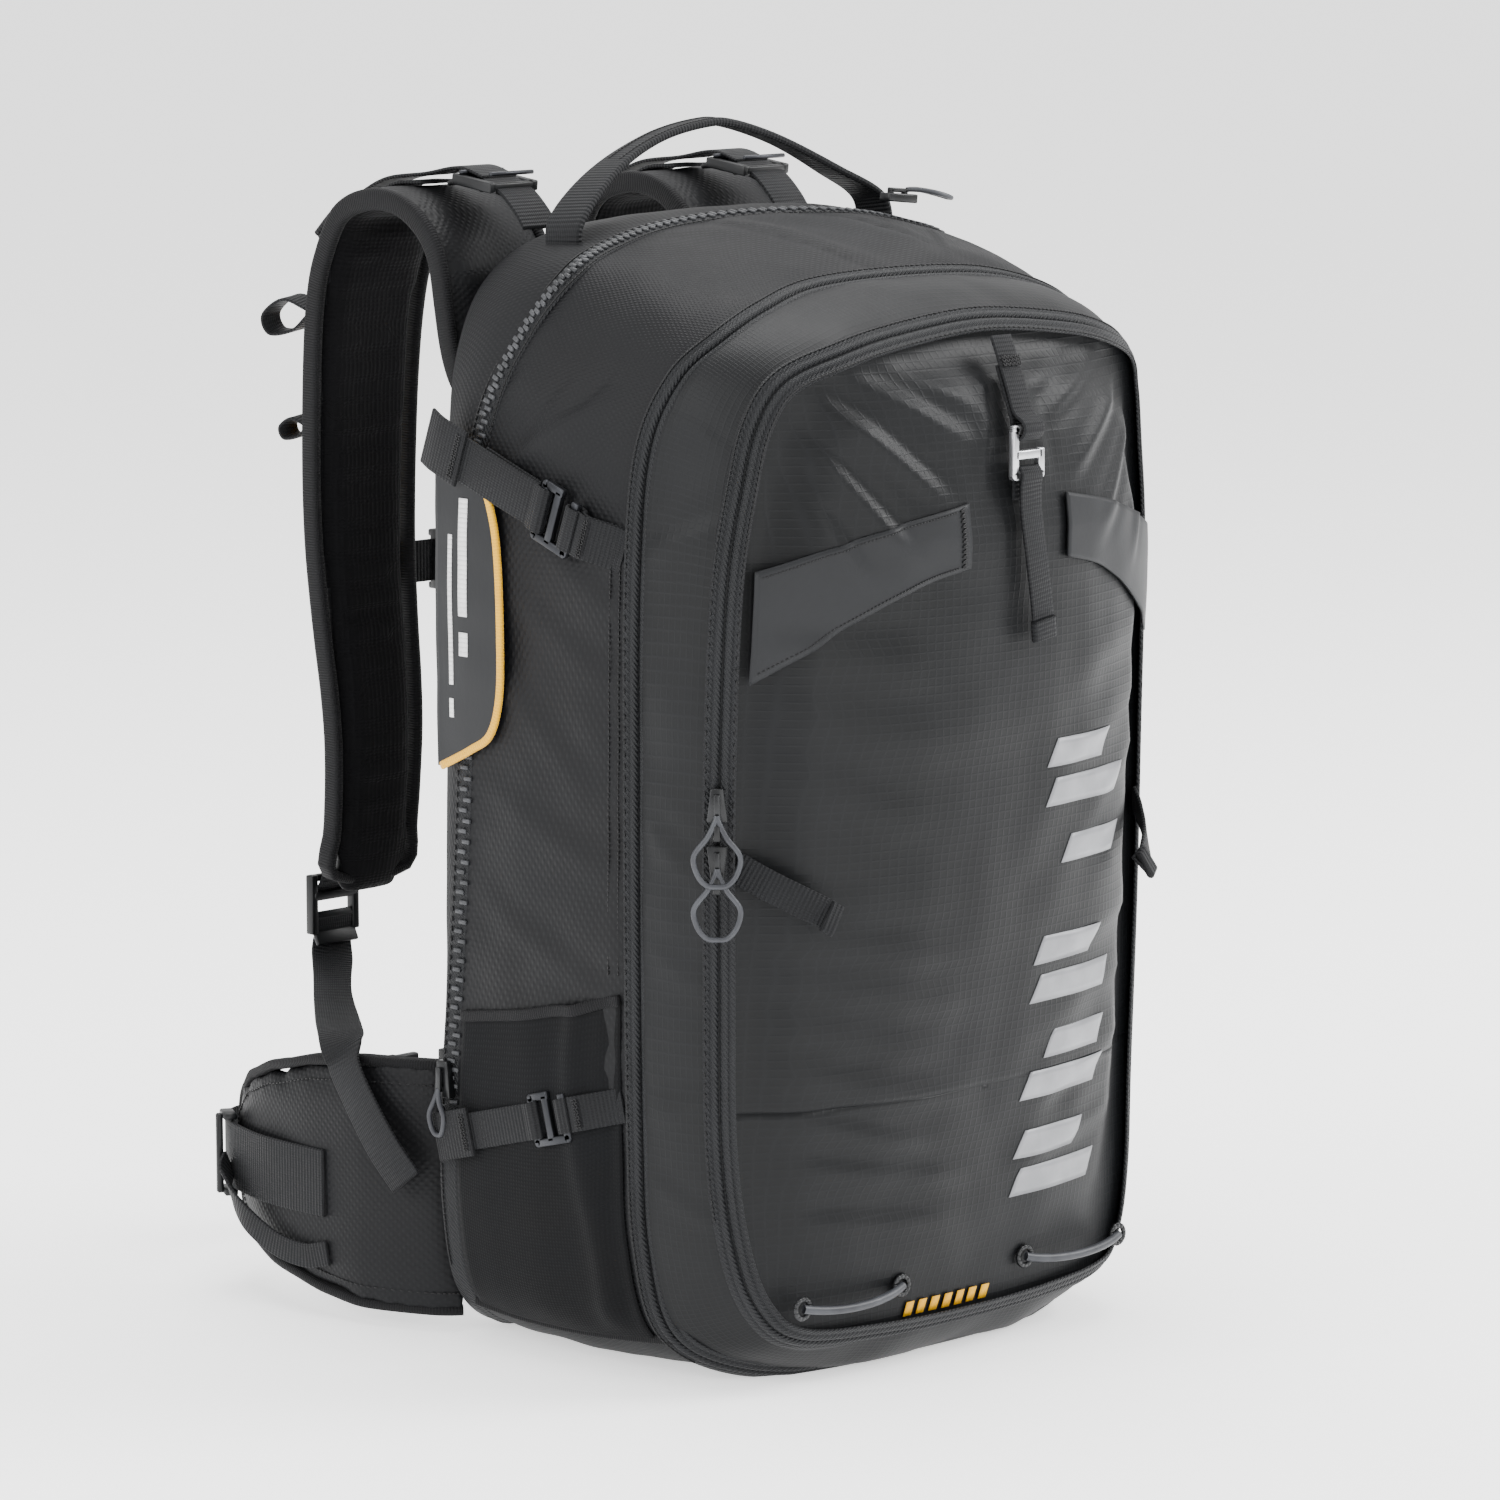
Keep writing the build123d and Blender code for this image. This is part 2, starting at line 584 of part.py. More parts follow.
# ---------------------------------------------------------------- hip belt
wing_line = [(-half_width + 12, back_plane + wing_thick / 2 + 2.6), (-half_width + 1, back_plane + 18),
             (-half_width - 4, back_plane + 56), (-half_width - 1, back_plane + 98),
             (-half_width + 15, back_plane + 136)]
with BuildPart() as hip_wing_left:
    with BuildSketch(Plane.XY.offset(0)):
        with BuildLine():
            FilletPolyline(*wing_line, radius=(8, 70, 50))
        trace(line_width=wing_thick)
    extrude(amount=140)
    with BuildSketch(Plane.YZ):
        with BuildLine():
            FilletPolyline(
                (back_plane - 4, 8), (back_plane - 4, 122), (back_plane + 66, 116), (back_plane + 118, 102),
                (back_plane + 146, 78), (back_plane + 146, 44), (back_plane + 120, 22), (back_plane + 56, 10),
                radius=(4, 4, 40, 20, 14, 14, 20, 40), close=True)
        make_face()
    extrude(amount=big, both=True, mode=Mode.INTERSECT)

web_out = wing_thick / 2 + 1.6
with BuildPart() as hip_web_left:
    with BuildSketch(Plane.XY.offset(belt_z - belt_web / 2)):
        with BuildLine():
            FilletPolyline(
                (-half_width - 5 - web_out, back_plane + 58), (-half_width - 4 - web_out, back_plane + 104),
                (-half_width + 8, buckle_y - 22), (-half_width + 54, buckle_y - 5), (-46, buckle_y),
                radius=(70, 22, 60))
        trace(line_width=1.8)
    extrude(amount=belt_web)

with BuildPart() as hip_female:
    with Locations((-45, buckle_y, belt_z)):
        Box(40, 12, 42, align=(Align.MIN, Align.CENTER, Align.CENTER))
    fillet(hip_female.edges().filter_by(Axis.Y), 6)
    with Locations((-5, buckle_y, belt_z)):
        Box(30, 7, 33, align=(Align.MAX, Align.CENTER, Align.CENTER), mode=Mode.SUBTRACT)

with BuildPart() as hip_male:
    with Locations((23, buckle_y, belt_z)):
        Box(22, 11, 40, align=(Align.MIN, Align.CENTER, Align.CENTER))
    fillet(hip_male.edges().filter_by(Axis.Y), 5)
    with Locations((25, buckle_y, belt_z)):
        Box(24, 6, 30, align=(Align.MAX, Align.CENTER, Align.CENTER))
    with Locations((15, buckle_y, belt_z)):
        Box(16, 8, 14, align=(Align.MAX, Align.CENTER, Align.CENTER), mode=Mode.SUBTRACT)

# ---------------------------------------------------------------- the right-hand pieces
with BuildPart() as side_straps_right:
    mirror(side_straps_left.part, about=Plane.YZ)

with BuildPart() as catch_loops_right:
    mirror(catch_loops_left.part, about=Plane.YZ)

with BuildPart() as upper_hook_right:
    mirror(upper_hook_left.part, about=Plane.YZ)

with BuildPart() as lower_hook_right:
    mirror(lower_hook_left.part, about=Plane.YZ)

with BuildPart() as shoulder_pad_right:
    mirror(shoulder_pad_left.part, about=Plane.YZ)

with BuildPart() as locks_right:
    mirror(locks_left.part, about=Plane.YZ)

with BuildPart() as lower_web_right:
    mirror(lower_web_left.part, about=Plane.YZ)

with BuildPart() as lifter_web_right:
    mirror(lifter_web_left.part, about=Plane.YZ)

with BuildPart() as sternum_slider_right:
    mirror(sternum_slider_left.part, about=Plane.YZ)

with BuildPart() as hip_wing_right:
    mirror(hip_wing_left.part, about=Plane.YZ)

with BuildPart() as hip_web_right:
    mirror(hip_web_left.part, about=Plane.YZ)

pieces = {
    "back_tub": back_tub, "bottom_boot": bottom_boot, "airbag_zip": airbag_zip, "main_zip_tub": main_zip_tub,
    "back_pad": back_pad, "frame_sheet": frame_sheet, "frame_stay": frame_stay, "airbag_packet": airbag_packet,
    "gas_bottle": gas_bottle, "inflation_head": inflation_head, "trigger_cable": trigger_cable,
    "airbag_sliders": airbag_sliders, "haul_handle": haul_handle, "side_straps_left": side_straps_left,
    "side_straps_right": side_straps_right, "catch_loops_left": catch_loops_left,
    "catch_loops_right": catch_loops_right, "upper_hook_left": upper_hook_left,
    "upper_hook_right": upper_hook_right, "lower_hook_left": lower_hook_left,
    "lower_hook_right": lower_hook_right, "burst_flap": burst_flap, "tool_loops": tool_loops,
    "front_frame": front_frame, "lower_front": lower_front, "tool_divider": tool_divider,
    "main_zip_front": main_zip_front, "tool_zip_inner": tool_zip_inner, "front_tail": front_tail,
    "tool_lid": tool_lid, "tool_zip_outer": tool_zip_outer, "wing_patches": wing_patches,
    "front_strap": front_strap, "front_hook": front_hook, "tool_slider": tool_slider,
    "tool_slider_low": tool_slider_low, "tool_pull": tool_pull, "main_slider": main_slider,
    "main_pull": main_pull, "shoulder_pad_left": shoulder_pad_left, "shoulder_pad_right": shoulder_pad_right,
    "locks_left": locks_left, "locks_right": locks_right, "lower_web_left": lower_web_left,
    "lower_web_right": lower_web_right, "lifter_web_left": lifter_web_left,
    "lifter_web_right": lifter_web_right, "sternum_web_left": sternum_web_left,
    "sternum_web_right": sternum_web_right, "sternum_female": sternum_female, "sternum_male": sternum_male,
    "sternum_slider_left": sternum_slider_left, "sternum_slider_right": sternum_slider_right,
    "trigger_handle": trigger_handle, "hip_wing_left": hip_wing_left, "hip_wing_right": hip_wing_right,
    "hip_web_left": hip_web_left, "hip_web_right": hip_web_right, "hip_female": hip_female,
    "hip_male": hip_male,
}
for label, piece in pieces.items():
    piece.part.label = label
    export_step(piece.part, f"parts/{label}.step")
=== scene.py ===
"""Avalanche airbag backpack: fabric, zips, webbing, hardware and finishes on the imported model.

Sizes are in millimetres inside the classes and are turned to metres when a mesh is placed.
"""

import logging
import math
from dataclasses import dataclass, field
from enum import Enum
from typing import Callable, Optional, Sequence

import bmesh
import bpy
from mathutils import Matrix, Vector, noise


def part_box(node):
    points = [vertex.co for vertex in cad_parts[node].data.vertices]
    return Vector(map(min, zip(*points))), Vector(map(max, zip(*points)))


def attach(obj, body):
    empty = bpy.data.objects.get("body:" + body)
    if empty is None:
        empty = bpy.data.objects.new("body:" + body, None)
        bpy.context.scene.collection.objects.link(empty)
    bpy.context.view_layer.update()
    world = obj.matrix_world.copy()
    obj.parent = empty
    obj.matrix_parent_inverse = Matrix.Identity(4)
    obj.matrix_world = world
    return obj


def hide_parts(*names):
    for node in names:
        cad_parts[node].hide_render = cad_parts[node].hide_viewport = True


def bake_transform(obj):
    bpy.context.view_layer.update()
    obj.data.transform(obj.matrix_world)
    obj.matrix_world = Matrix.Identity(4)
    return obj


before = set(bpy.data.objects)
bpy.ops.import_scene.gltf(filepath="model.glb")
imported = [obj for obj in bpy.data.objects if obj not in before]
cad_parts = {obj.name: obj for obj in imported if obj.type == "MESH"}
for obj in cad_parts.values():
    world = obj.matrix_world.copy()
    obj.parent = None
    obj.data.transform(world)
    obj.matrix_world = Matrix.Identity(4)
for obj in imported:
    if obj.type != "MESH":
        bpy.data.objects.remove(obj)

logging.basicConfig(level=logging.INFO, format="%(message)s")
LOG = logging.getLogger("backpack")
MM = 0.001
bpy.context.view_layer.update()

Placer = Callable[[float, float], Vector]
Profile = Sequence[tuple[float, float]]


class Side(Enum):
    """Wearer's left or right, as the sign of X."""

    LEFT = -1
    RIGHT = 1

    @property
    def word(self) -> str:
        """Name ending of the pieces on this side."""
        return "left" if self is Side.LEFT else "right"


# ------------------------------------------------------------------ small maths


def smooth(low: float, high: float, value: float) -> float:
    """Ease from 0 at low to 1 at high.

    Args:
        low: Value where the result leaves 0.
        high: Value where the result reaches 1.
        value: Input.

    Returns:
        Eased share between 0 and 1.
    """
    t = min(1.0, max(0.0, (value - low) / (high - low)))
    return t * t * (3.0 - 2.0 * t)


def through(points: Sequence[Vector], t: float) -> Vector:
    """Point on a Catmull-Rom line through points.

    Args:
        points: Knots, two or more.
        t: Share of the way, 0 to 1, equal for each knot interval.

    Returns:
        The point.
    """
    last = len(points) - 1
    x = min(max(t, 0.0), 1.0) * last
    i = min(int(x), last - 1)
    f = x - i
    p1, p2 = points[i], points[i + 1]
    p0 = points[i - 1] if i > 0 else 2 * p1 - p2
    p3 = points[i + 2] if i + 2 <= last else 2 * p2 - p1
    return 0.5 * (
        2 * p1 + (p2 - p0) * f + (2 * p0 - 5 * p1 + 4 * p2 - p3) * f**2 + (3 * p1 - p0 - 3 * p2 + p3) * f**3
    )


def outline_box(width: float, thick: float, corner: float, steps: int = 2) -> list[tuple[float, float]]:
    """Closed profile of a flat bar with rounded edges.

    Args:
        width: Across.
        thick: Through.
        corner: Edge radius.
        steps: Segments per edge.

    Returns:
        Points (across, height), the first repeated at the end.
    """
    pts = []
    for k, (sx, sy) in enumerate(((1, 1), (-1, 1), (-1, -1), (1, -1))):
        for s in range(steps + 1):
            a = math.radians(90 * k + 90 * s / steps)
            pts.append(
                (
                    sx * (width / 2 - corner) + corner * math.cos(a),
                    sy * (thick / 2 - corner) + corner * math.sin(a)
                )
            )
    return pts + pts[:1]


def outline_round(radius: float, steps: int = 8) -> list[tuple[float, float]]:
    """Closed circular profile.

    Args:
        radius: Radius.
        steps: Segments.

    Returns:
        Points (across, height), the first repeated at the end.
    """
    return [
        (radius * math.cos(2 * math.pi * k / steps), radius * math.sin(2 * math.pi * k / steps))
        for k in range(steps + 1)
    ]


@dataclass(frozen=True)
class Station:
    """One cross-section's place on a swept piece."""

    at: Vector
    across: Vector
    up: Vector
    run: float


def rail(
    points: Sequence[Vector], across: Sequence[Vector], steps: int
) -> list[Station]:
    """Stations along a smooth line, with the across direction turned evenly from knot to knot.

    Args:
        points: Knots of the line, in millimetres.
        across: Width direction at each knot.
        steps: Number of stations less one.

    Returns:
        Stations from the first knot to the last.
    """
    made, run, before = [], 0.0, None
    for k in range(steps + 1):
        t = k / steps
        at = through(points, t)
        ahead = through(points, min(1.0, t + 0.002)) - through(points, max(0.0, t - 0.002))
        side = through(across, t)
        side = (side - ahead * side.dot(ahead) / ahead.length_squared).normalized()
        up = ahead.normalized().cross(side).normalized()
        run += (at - before).length if before is not None else 0.0
        before = at
        made.append(Station(at, side, up, run))
    return made


# ------------------------------------------------------------------ meshes


def finish_mesh(
    bm: bmesh.types.BMesh, name: str, finish: bpy.types.Material, flat: bool = False
) -> bpy.types.Object:
    """Turn a bmesh in millimetres into a placed object.

    Args:
        bm: Mesh, freed here.
        name: Piece name.
        finish: Its material.
        flat: Leave the faces flat-shaded.

    Returns:
        The object, at the origin.
    """
    bmesh.ops.scale(bm, vec=(MM, MM, MM), verts=bm.verts)
    for face in bm.faces:
        face.smooth = not flat
    data = bpy.data.meshes.new(name)
    bm.to_mesh(data)
    bm.free()
    data.materials.append(finish)
    piece = bpy.data.objects.new(name, data)
    bpy.context.scene.collection.objects.link(piece)
    return piece


def grid_sheet(
    name: str, cells: tuple[int, int], place: Placer, finish: bpy.types.Material,
    size: tuple[float, float], merge: float = 0.0, outward: Optional[Vector] = None,
) -> bpy.types.Object:
    """Sheet made from a grid whose vertices are laid on a surface.

    Args:
        name: Piece name.
        cells: Cells along u and v.
        place: Surface point for (u, v), in millimetres.
        finish: Material.
        size: Real length along u and v, in millimetres, for the weave's UV map.
        merge: Distance under which vertices are joined.
        outward: A point inside the object that the faces look away from.

    Returns:
        The object.
    """
    bm = bmesh.new()
    bmesh.ops.create_grid(bm, x_segments=cells[0], y_segments=cells[1], size=0.5)
    uv = bm.loops.layers.uv.new("weave")
    for face in bm.faces:
        for loop in face.loops:
            co = loop.vert.co
            loop[uv].uv = ((co.x + 0.5) * size[0] * MM, (co.y + 0.5) * size[1] * MM)
    for vert in bm.verts:
        vert.co = place(
            round((vert.co.x + 0.5) * cells[0]) / cells[0], round((vert.co.y + 0.5) * cells[1]) / cells[1]
        )
    if merge:
        bmesh.ops.remove_doubles(bm, verts=bm.verts, dist=merge)
        bmesh.ops.dissolve_degenerate(bm, dist=merge / 4, edges=bm.edges)
    if outward is not None:
        score = sum(f.normal.dot(f.calc_center_median() - outward) * f.calc_area() for f in bm.faces)
        if score < 0:
            bmesh.ops.reverse_faces(bm, faces=bm.faces)
    return finish_mesh(bm, name, finish)


def swept(
    name: str, stations: Sequence[Station], profile: Profile, finish: bpy.types.Material,
    caps: bool = True,
    shape: Optional[Callable[[float, float, float], tuple[float, float]]] = None,
) -> bpy.types.Object:
    """Profile carried along stations, such as webbing, cord or tape.

    Args:
        name: Piece name.
        stations: Where each cross-section stands.
        profile: Points (across, height); repeat the first to close it.
        finish: Material.
        caps: Close both ends.
        shape: Changes a profile point, given the share of the length, across and height.

    Returns:
        The object, with a UV map of metres along and across.
    """
    bm = bmesh.new()
    nu, nv = len(stations) - 1, len(profile) - 1
    bmesh.ops.create_grid(bm, x_segments=nu, y_segments=nv, size=0.5)
    uv = bm.loops.layers.uv.new("weave")
    girth = [0.0]
    for a, b in zip(profile, profile[1:]):
        girth.append(girth[-1] + math.dist(a, b))
    for face in bm.faces:
        for loop in face.loops:
            i, j = round((loop.vert.co.x + 0.5) * nu), round((loop.vert.co.y + 0.5) * nv)
            loop[uv].uv = (girth[j] * MM, stations[i].run * MM)
    for vert in bm.verts:
        i, j = round((vert.co.x + 0.5) * nu), round((vert.co.y + 0.5) * nv)
        s, (a, h) = stations[i], profile[j]
        if shape:
            a, h = shape(i / nu, a, h)
        vert.co = s.at + s.across * a + s.up * h
    bmesh.ops.remove_doubles(bm, verts=bm.verts, dist=0.01)
    if caps:
        rims = [e for e in bm.edges if e.is_boundary]
        bmesh.ops.holes_fill(bm, edges=rims, sides=0)
    bmesh.ops.recalc_face_normals(bm, faces=bm.faces)
    return finish_mesh(bm, name, finish)


def blocks(
    name: str, places: Sequence[Matrix], finish: bpy.types.Material, bevel: float = 0.0
) -> bpy.types.Object:
    """Many small rounded blocks in one mesh, such as stitches or zip teeth.

    Args:
        name: Piece name.
        places: A matrix for each unit cube, in millimetres.
        finish: Material.
        bevel: Edge rounding in millimetres.

    Returns:
        The object.
    """
    bm = bmesh.new()
    for place in places:
        bmesh.ops.create_cube(bm, size=1.0, matrix=place)
    if bevel:
        round_edges(bm, bevel, 1)
    bmesh.ops.recalc_face_normals(bm, faces=bm.faces)
    return finish_mesh(bm, name, finish)


def add_box(bm: bmesh.types.BMesh, at: Sequence[float], size: Sequence[float], turn: float = 0.0) -> None:
    """Add a box to a mesh that is being built.

    Args:
        bm: The mesh.
        at: Middle of the box.
        size: Its three sizes.
        turn: Rotation about y, in radians.
    """
    place = Matrix.Translation(at)
    if turn:
        place = place @ Matrix.Rotation(turn, 4, "Y")
    bmesh.ops.create_cube(bm, size=1.0, matrix=place @ Matrix.Diagonal((*size, 1.0)))


def round_edges(
    bm: bmesh.types.BMesh, offset: float, segments: int, edges: Optional[Sequence[bmesh.types.BMEdge]] = None
) -> None:
    """Round a mesh's edges.

    Args:
        bm: The mesh.
        offset: Size of the rounding.
        segments: Number of faces across it.
        edges: The edges, or None for all.
    """
    bmesh.ops.bevel(
        bm, geom=edges or bm.edges[:], offset=offset, segments=segments, profile=0.5, affect="EDGES", material=-1
    )


def placed(at: Vector, along: Vector, across: Vector, size: tuple[float, float, float]) -> Matrix:
    """Matrix of a unit cube stretched to a size in a turned frame.

    Args:
        at: Centre.
        along: Direction of the first size.
        across: Rough direction of the second size.
        size: Length along, across and up.

    Returns:
        The matrix.
    """
    x = along.normalized()
    z = x.cross(across).normalized()
    y = z.cross(x)
    turn = Matrix((x, y, z)).transposed().to_4x4()
    return Matrix.Translation(at) @ turn @ Matrix.Diagonal((*size, 1.0))


def thicken(piece: bpy.types.Object, thick: float, lining: Optional[bpy.types.Material] = None) -> None:
    """Give a sheet a wall inward from its face.

    Args:
        piece: The sheet.
        thick: Wall in millimetres.
        lining: Material of the inner face, if it differs.
    """
    wall = piece.modifiers.new("wall", "SOLIDIFY")
    wall.thickness = thick * MM
    wall.offset = -1.0
    if lining is not None:
        piece.data.materials.append(lining)
        wall.material_offset = 1


def soften(piece: bpy.types.Object, levels: int = 1) -> None:
    """Add a subdivision surface, the same in view and render.

    Args:
        piece: The piece.
        levels: Subdivision levels.
    """
    skin = piece.modifiers.new("skin", "SUBSURF")
    skin.levels = levels
    skin.render_levels = levels


def settle(piece: bpy.types.Object, body: str, slot: str, *nodes: str) -> bpy.types.Object:
    """Ride a piece on a body, hide the CAD nodes it stands for, and report it.

    Args:
        piece: The piece.
        body: CAD body.
        slot: Not used.
        nodes: CAD nodes that it replaces.

    Returns:
        The piece.
    """
    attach(piece, body)
    return booked(piece, body, slot, *nodes)


def booked(piece: bpy.types.Object, body: str, slot: str, *nodes: str) -> bpy.types.Object:
    """Hide a piece's replaced nodes, and report it.

    Args:
        piece: The piece, already riding or blended.
        body: Words for the report.
        slot: Not used.
        nodes: CAD nodes that it replaces.

    Returns:
        The piece.
    """
    if nodes:
        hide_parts(*nodes)
    LOG.info("%s on %s", piece.name, body)
    return piece


# ------------------------------------------------------------------ finishes


def linear(code: str) -> tuple[float, float, float, float]:
    """Turn an sRGB hex code to a linear colour.

    Args:
        code: Six hex digits.

    Returns:
        Red, green, blue and alpha.
    """
    parts = [int(code[i : i + 2], 16) / 255 for i in (0, 2, 4)]
    r, g, b = (c / 12.92 if c <= 0.04045 else ((c + 0.055) / 1.055) ** 2.4 for c in parts)
    return (r, g, b, 1.0)


def add_node(
    tree: bpy.types.NodeTree, kind: str, links: Optional[dict] = None, **settings: object
) -> bpy.types.Node:
    """Add a shader node with its settings, socket values and incoming links.

    Args:
        tree: Node tree.
        kind: Node type name.
        links: Input name or index to an output socket or a plain value.
        settings: Node properties.

    Returns:
        The node.
    """
    node = tree.nodes.new(kind)
    for key, value in settings.items():
        setattr(node, key, value)
    for key, value in (links or {}).items():
        if isinstance(value, bpy.types.NodeSocket):
            tree.links.new(value, node.inputs[key])
        else:
            node.inputs[key].default_value = value
    return node


class Weave(Enum):
    """How a cloth's threads show."""

    RIPSTOP = "ripstop"
    DOBBY = "dobby"
    PLAIN = "plain"
    RIBBED = "ribbed"
    TWILL = "twill"
    MESH = "mesh"
    SMOOTH = "smooth"


@dataclass(frozen=True)
class Cloth:
    """A woven, knitted or coated cloth. Threads follow the piece's own UV map, in metres."""

    name: str
    colour: str
    worn: str
    weave: Weave
    pitch: float
    relief: float
    rough: float
    sheen: float = 0.15
    mottle: float = 30.0
    specular: float = 0.3

    def threads(self, tree: bpy.types.NodeTree) -> bpy.types.NodeSocket:
        """Height of the threads from 0 to 1.

        Args:
            tree: Node tree.

        Returns:
            Height socket.
        """
        uv = add_node(tree, "ShaderNodeUVMap", uv_map="weave").outputs["UV"]
        beat = 1000.0 / self.pitch
        if self.weave is Weave.MESH:
            cells = add_node(
                tree, "ShaderNodeTexVoronoi", {
                    "Vector": uv, "Scale": beat, "Randomness": 0.25
                }, feature="F1"
            )
            return cells.outputs["Distance"]
        if self.weave is Weave.SMOOTH:
            grain = add_node(tree, "ShaderNodeTexNoise", {"Vector": uv, "Scale": beat, "Detail": 3.0})
            return grain.outputs["Fac"]
        turn = {Weave.DOBBY: 0.785, Weave.TWILL: 0.9}.get(self.weave, 0.0)
        laid = add_node(
            tree, "ShaderNodeMapping", {"Vector": uv, "Rotation": (0.0, 0.0, turn)}
        ).outputs["Vector"]
        # a wave of scale s repeats every 2 pi / (20 s)
        scale = beat * 0.3142
        warp = add_node(
            tree, "ShaderNodeTexWave", {"Vector": laid, "Scale": scale, "Distortion": 0.25, "Detail": 1.0},
            wave_type="BANDS", bands_direction="X",
        ).outputs["Fac"]
        weft = add_node(
            tree, "ShaderNodeTexWave", {"Vector": laid, "Scale": scale, "Distortion": 0.25, "Detail": 1.0},
            wave_type="BANDS", bands_direction="Y",
        ).outputs["Fac"]
        if self.weave in (Weave.RIBBED, Weave.TWILL):
            fine = add_node(
                tree, "ShaderNodeTexWave", {"Vector": laid, "Scale": scale * 1.7, "Distortion": 0.3},
                wave_type="BANDS", bands_direction="X",
            ).outputs["Fac"]
            low = add_node(tree, "ShaderNodeMath", {0: fine, 1: 0.35}, operation="MULTIPLY").outputs[0]
            return add_node(tree, "ShaderNodeMath", {0: weft, 1: low}, operation="ADD").outputs[0]
        if self.weave is Weave.RIPSTOP:
            # only the crests of the waves: thin raised threads that box in the plain cloth
            a = add_node(tree, "ShaderNodeMath", {0: warp, 1: 9.0}, operation="POWER").outputs[0]
            b = add_node(tree, "ShaderNodeMath", {0: weft, 1: 9.0}, operation="POWER").outputs[0]
            return add_node(tree, "ShaderNodeMath", {0: a, 1: b}, operation="MAXIMUM").outputs[0]
        return add_node(tree, "ShaderNodeMath", {0: warp, 1: weft}, operation="MULTIPLY").outputs[0]

    def build(self) -> bpy.types.Material:
        """Make the material.

        Returns:
            Blender material.
        """
        mat = bpy.data.materials.new(self.name)
        mat.use_nodes = True
        tree = mat.node_tree
        tree.nodes.clear()
        height = self.threads(tree)
        place = add_node(tree, "ShaderNodeTexCoord").outputs["Object"]
        clouds = add_node(
            tree, "ShaderNodeTexNoise", {"Vector": place, "Scale": self.mottle, "Detail": 4.0}
        ).outputs[
            "Fac"
        ]
        dust = add_node(
            tree, "ShaderNodeTexNoise", {"Vector": place, "Scale": 900.0, "Detail": 2.0}
        ).outputs["Fac"]
        tone = add_node(
            tree, "ShaderNodeMapRange", {
                "Value": clouds, "From Min": 0.3, "From Max": 0.75, "To Min": 0.0, "To Max": 0.6
            }
        ).outputs["Result"]
        lifted = add_node(
            tree, "ShaderNodeMath", {0: height, 1: 0.4, 2: tone}, operation="MULTIPLY_ADD", use_clamp=True
        ).outputs[0]
        colour = add_node(
            tree, "ShaderNodeMix", {
                "Factor": lifted, 6: linear(self.colour), 7: linear(self.worn)
            }, data_type="RGBA"
        ).outputs[2]
        rough = add_node(
            tree, "ShaderNodeMapRange",
            {
                "Value": clouds, "From Min": 0.25, "From Max": 0.75, "To Min": self.rough - 0.06,
                "To Max": self.rough + 0.06
            },
        ).outputs["Result"]
        fuzz = add_node(
            tree, "ShaderNodeMath", {0: dust, 1: 0.25, 2: height}, operation="MULTIPLY_ADD"
        ).outputs[0]
        bump = add_node(
            tree, "ShaderNodeBump", {"Height": fuzz, "Strength": 1.0, "Distance": self.relief * MM}
        ).outputs["Normal"]
        skin = add_node(
            tree, "ShaderNodeBsdfPrincipled", {"Base Color": colour, "Roughness": rough, "Normal": bump}
        )
        skin.inputs["Sheen Weight"].default_value = self.sheen
        skin.inputs["Sheen Roughness"].default_value = 0.45
        skin.inputs["Specular IOR Level"].default_value = self.specular
        add_node(tree, "ShaderNodeOutputMaterial", {"Surface": skin.outputs["BSDF"]})
        return mat


@dataclass(frozen=True)
class Hard:
    """A moulded plastic, rubber, print or metal, with fine grain and rubbed tone."""

    name: str
    colour: str
    worn: str
    rough: float
    metallic: float = 0.0
    grain: float = 1.2
    relief: float = 0.02
    coat: float = 0.0
    stretch: tuple[float, float, float] = (1.0, 1.0, 1.0)

    def build(self) -> bpy.types.Material:
        """Make the material.

        Returns:
            Blender material.
        """
        mat = bpy.data.materials.new(self.name)
        mat.use_nodes = True
        tree = mat.node_tree
        tree.nodes.clear()
        place = add_node(tree, "ShaderNodeTexCoord").outputs["Object"]
        laid = add_node(
            tree, "ShaderNodeMapping", {"Vector": place, "Scale": self.stretch}
        ).outputs["Vector"]
        grain = add_node(
            tree, "ShaderNodeTexNoise", {"Vector": laid, "Scale": 1000.0 / self.grain, "Detail": 3.0}
        ).outputs["Fac"]
        clouds = add_node(
            tree, "ShaderNodeTexNoise", {"Vector": place, "Scale": 60.0, "Detail": 5.0}
        ).outputs["Fac"]
        tone = add_node(
            tree, "ShaderNodeMapRange", {
                "Value": clouds, "From Min": 0.4, "From Max": 0.8, "To Min": 0.0, "To Max": 1.0
            }
        ).outputs["Result"]
        colour = add_node(
            tree, "ShaderNodeMix", {
                "Factor": tone, 6: linear(self.colour), 7: linear(self.worn)
            }, data_type="RGBA"
        ).outputs[2]
        rough = add_node(
            tree, "ShaderNodeMapRange", {
                "Value": grain, "To Min": self.rough - 0.07, "To Max": self.rough + 0.07
            }
        ).outputs["Result"]
        bump = add_node(
            tree, "ShaderNodeBump", {"Height": grain, "Strength": 0.6, "Distance": self.relief * MM}
        ).outputs["Normal"]
        skin = add_node(
            tree, "ShaderNodeBsdfPrincipled", {"Base Color": colour, "Roughness": rough, "Normal": bump}
        )
        skin.inputs["Metallic"].default_value = self.metallic
        skin.inputs["Specular IOR Level"].default_value = 0.5 if self.metallic else 0.3
        skin.inputs["Coat Weight"].default_value = self.coat
        add_node(tree, "ShaderNodeOutputMaterial", {"Surface": skin.outputs["BSDF"]})
        return mat


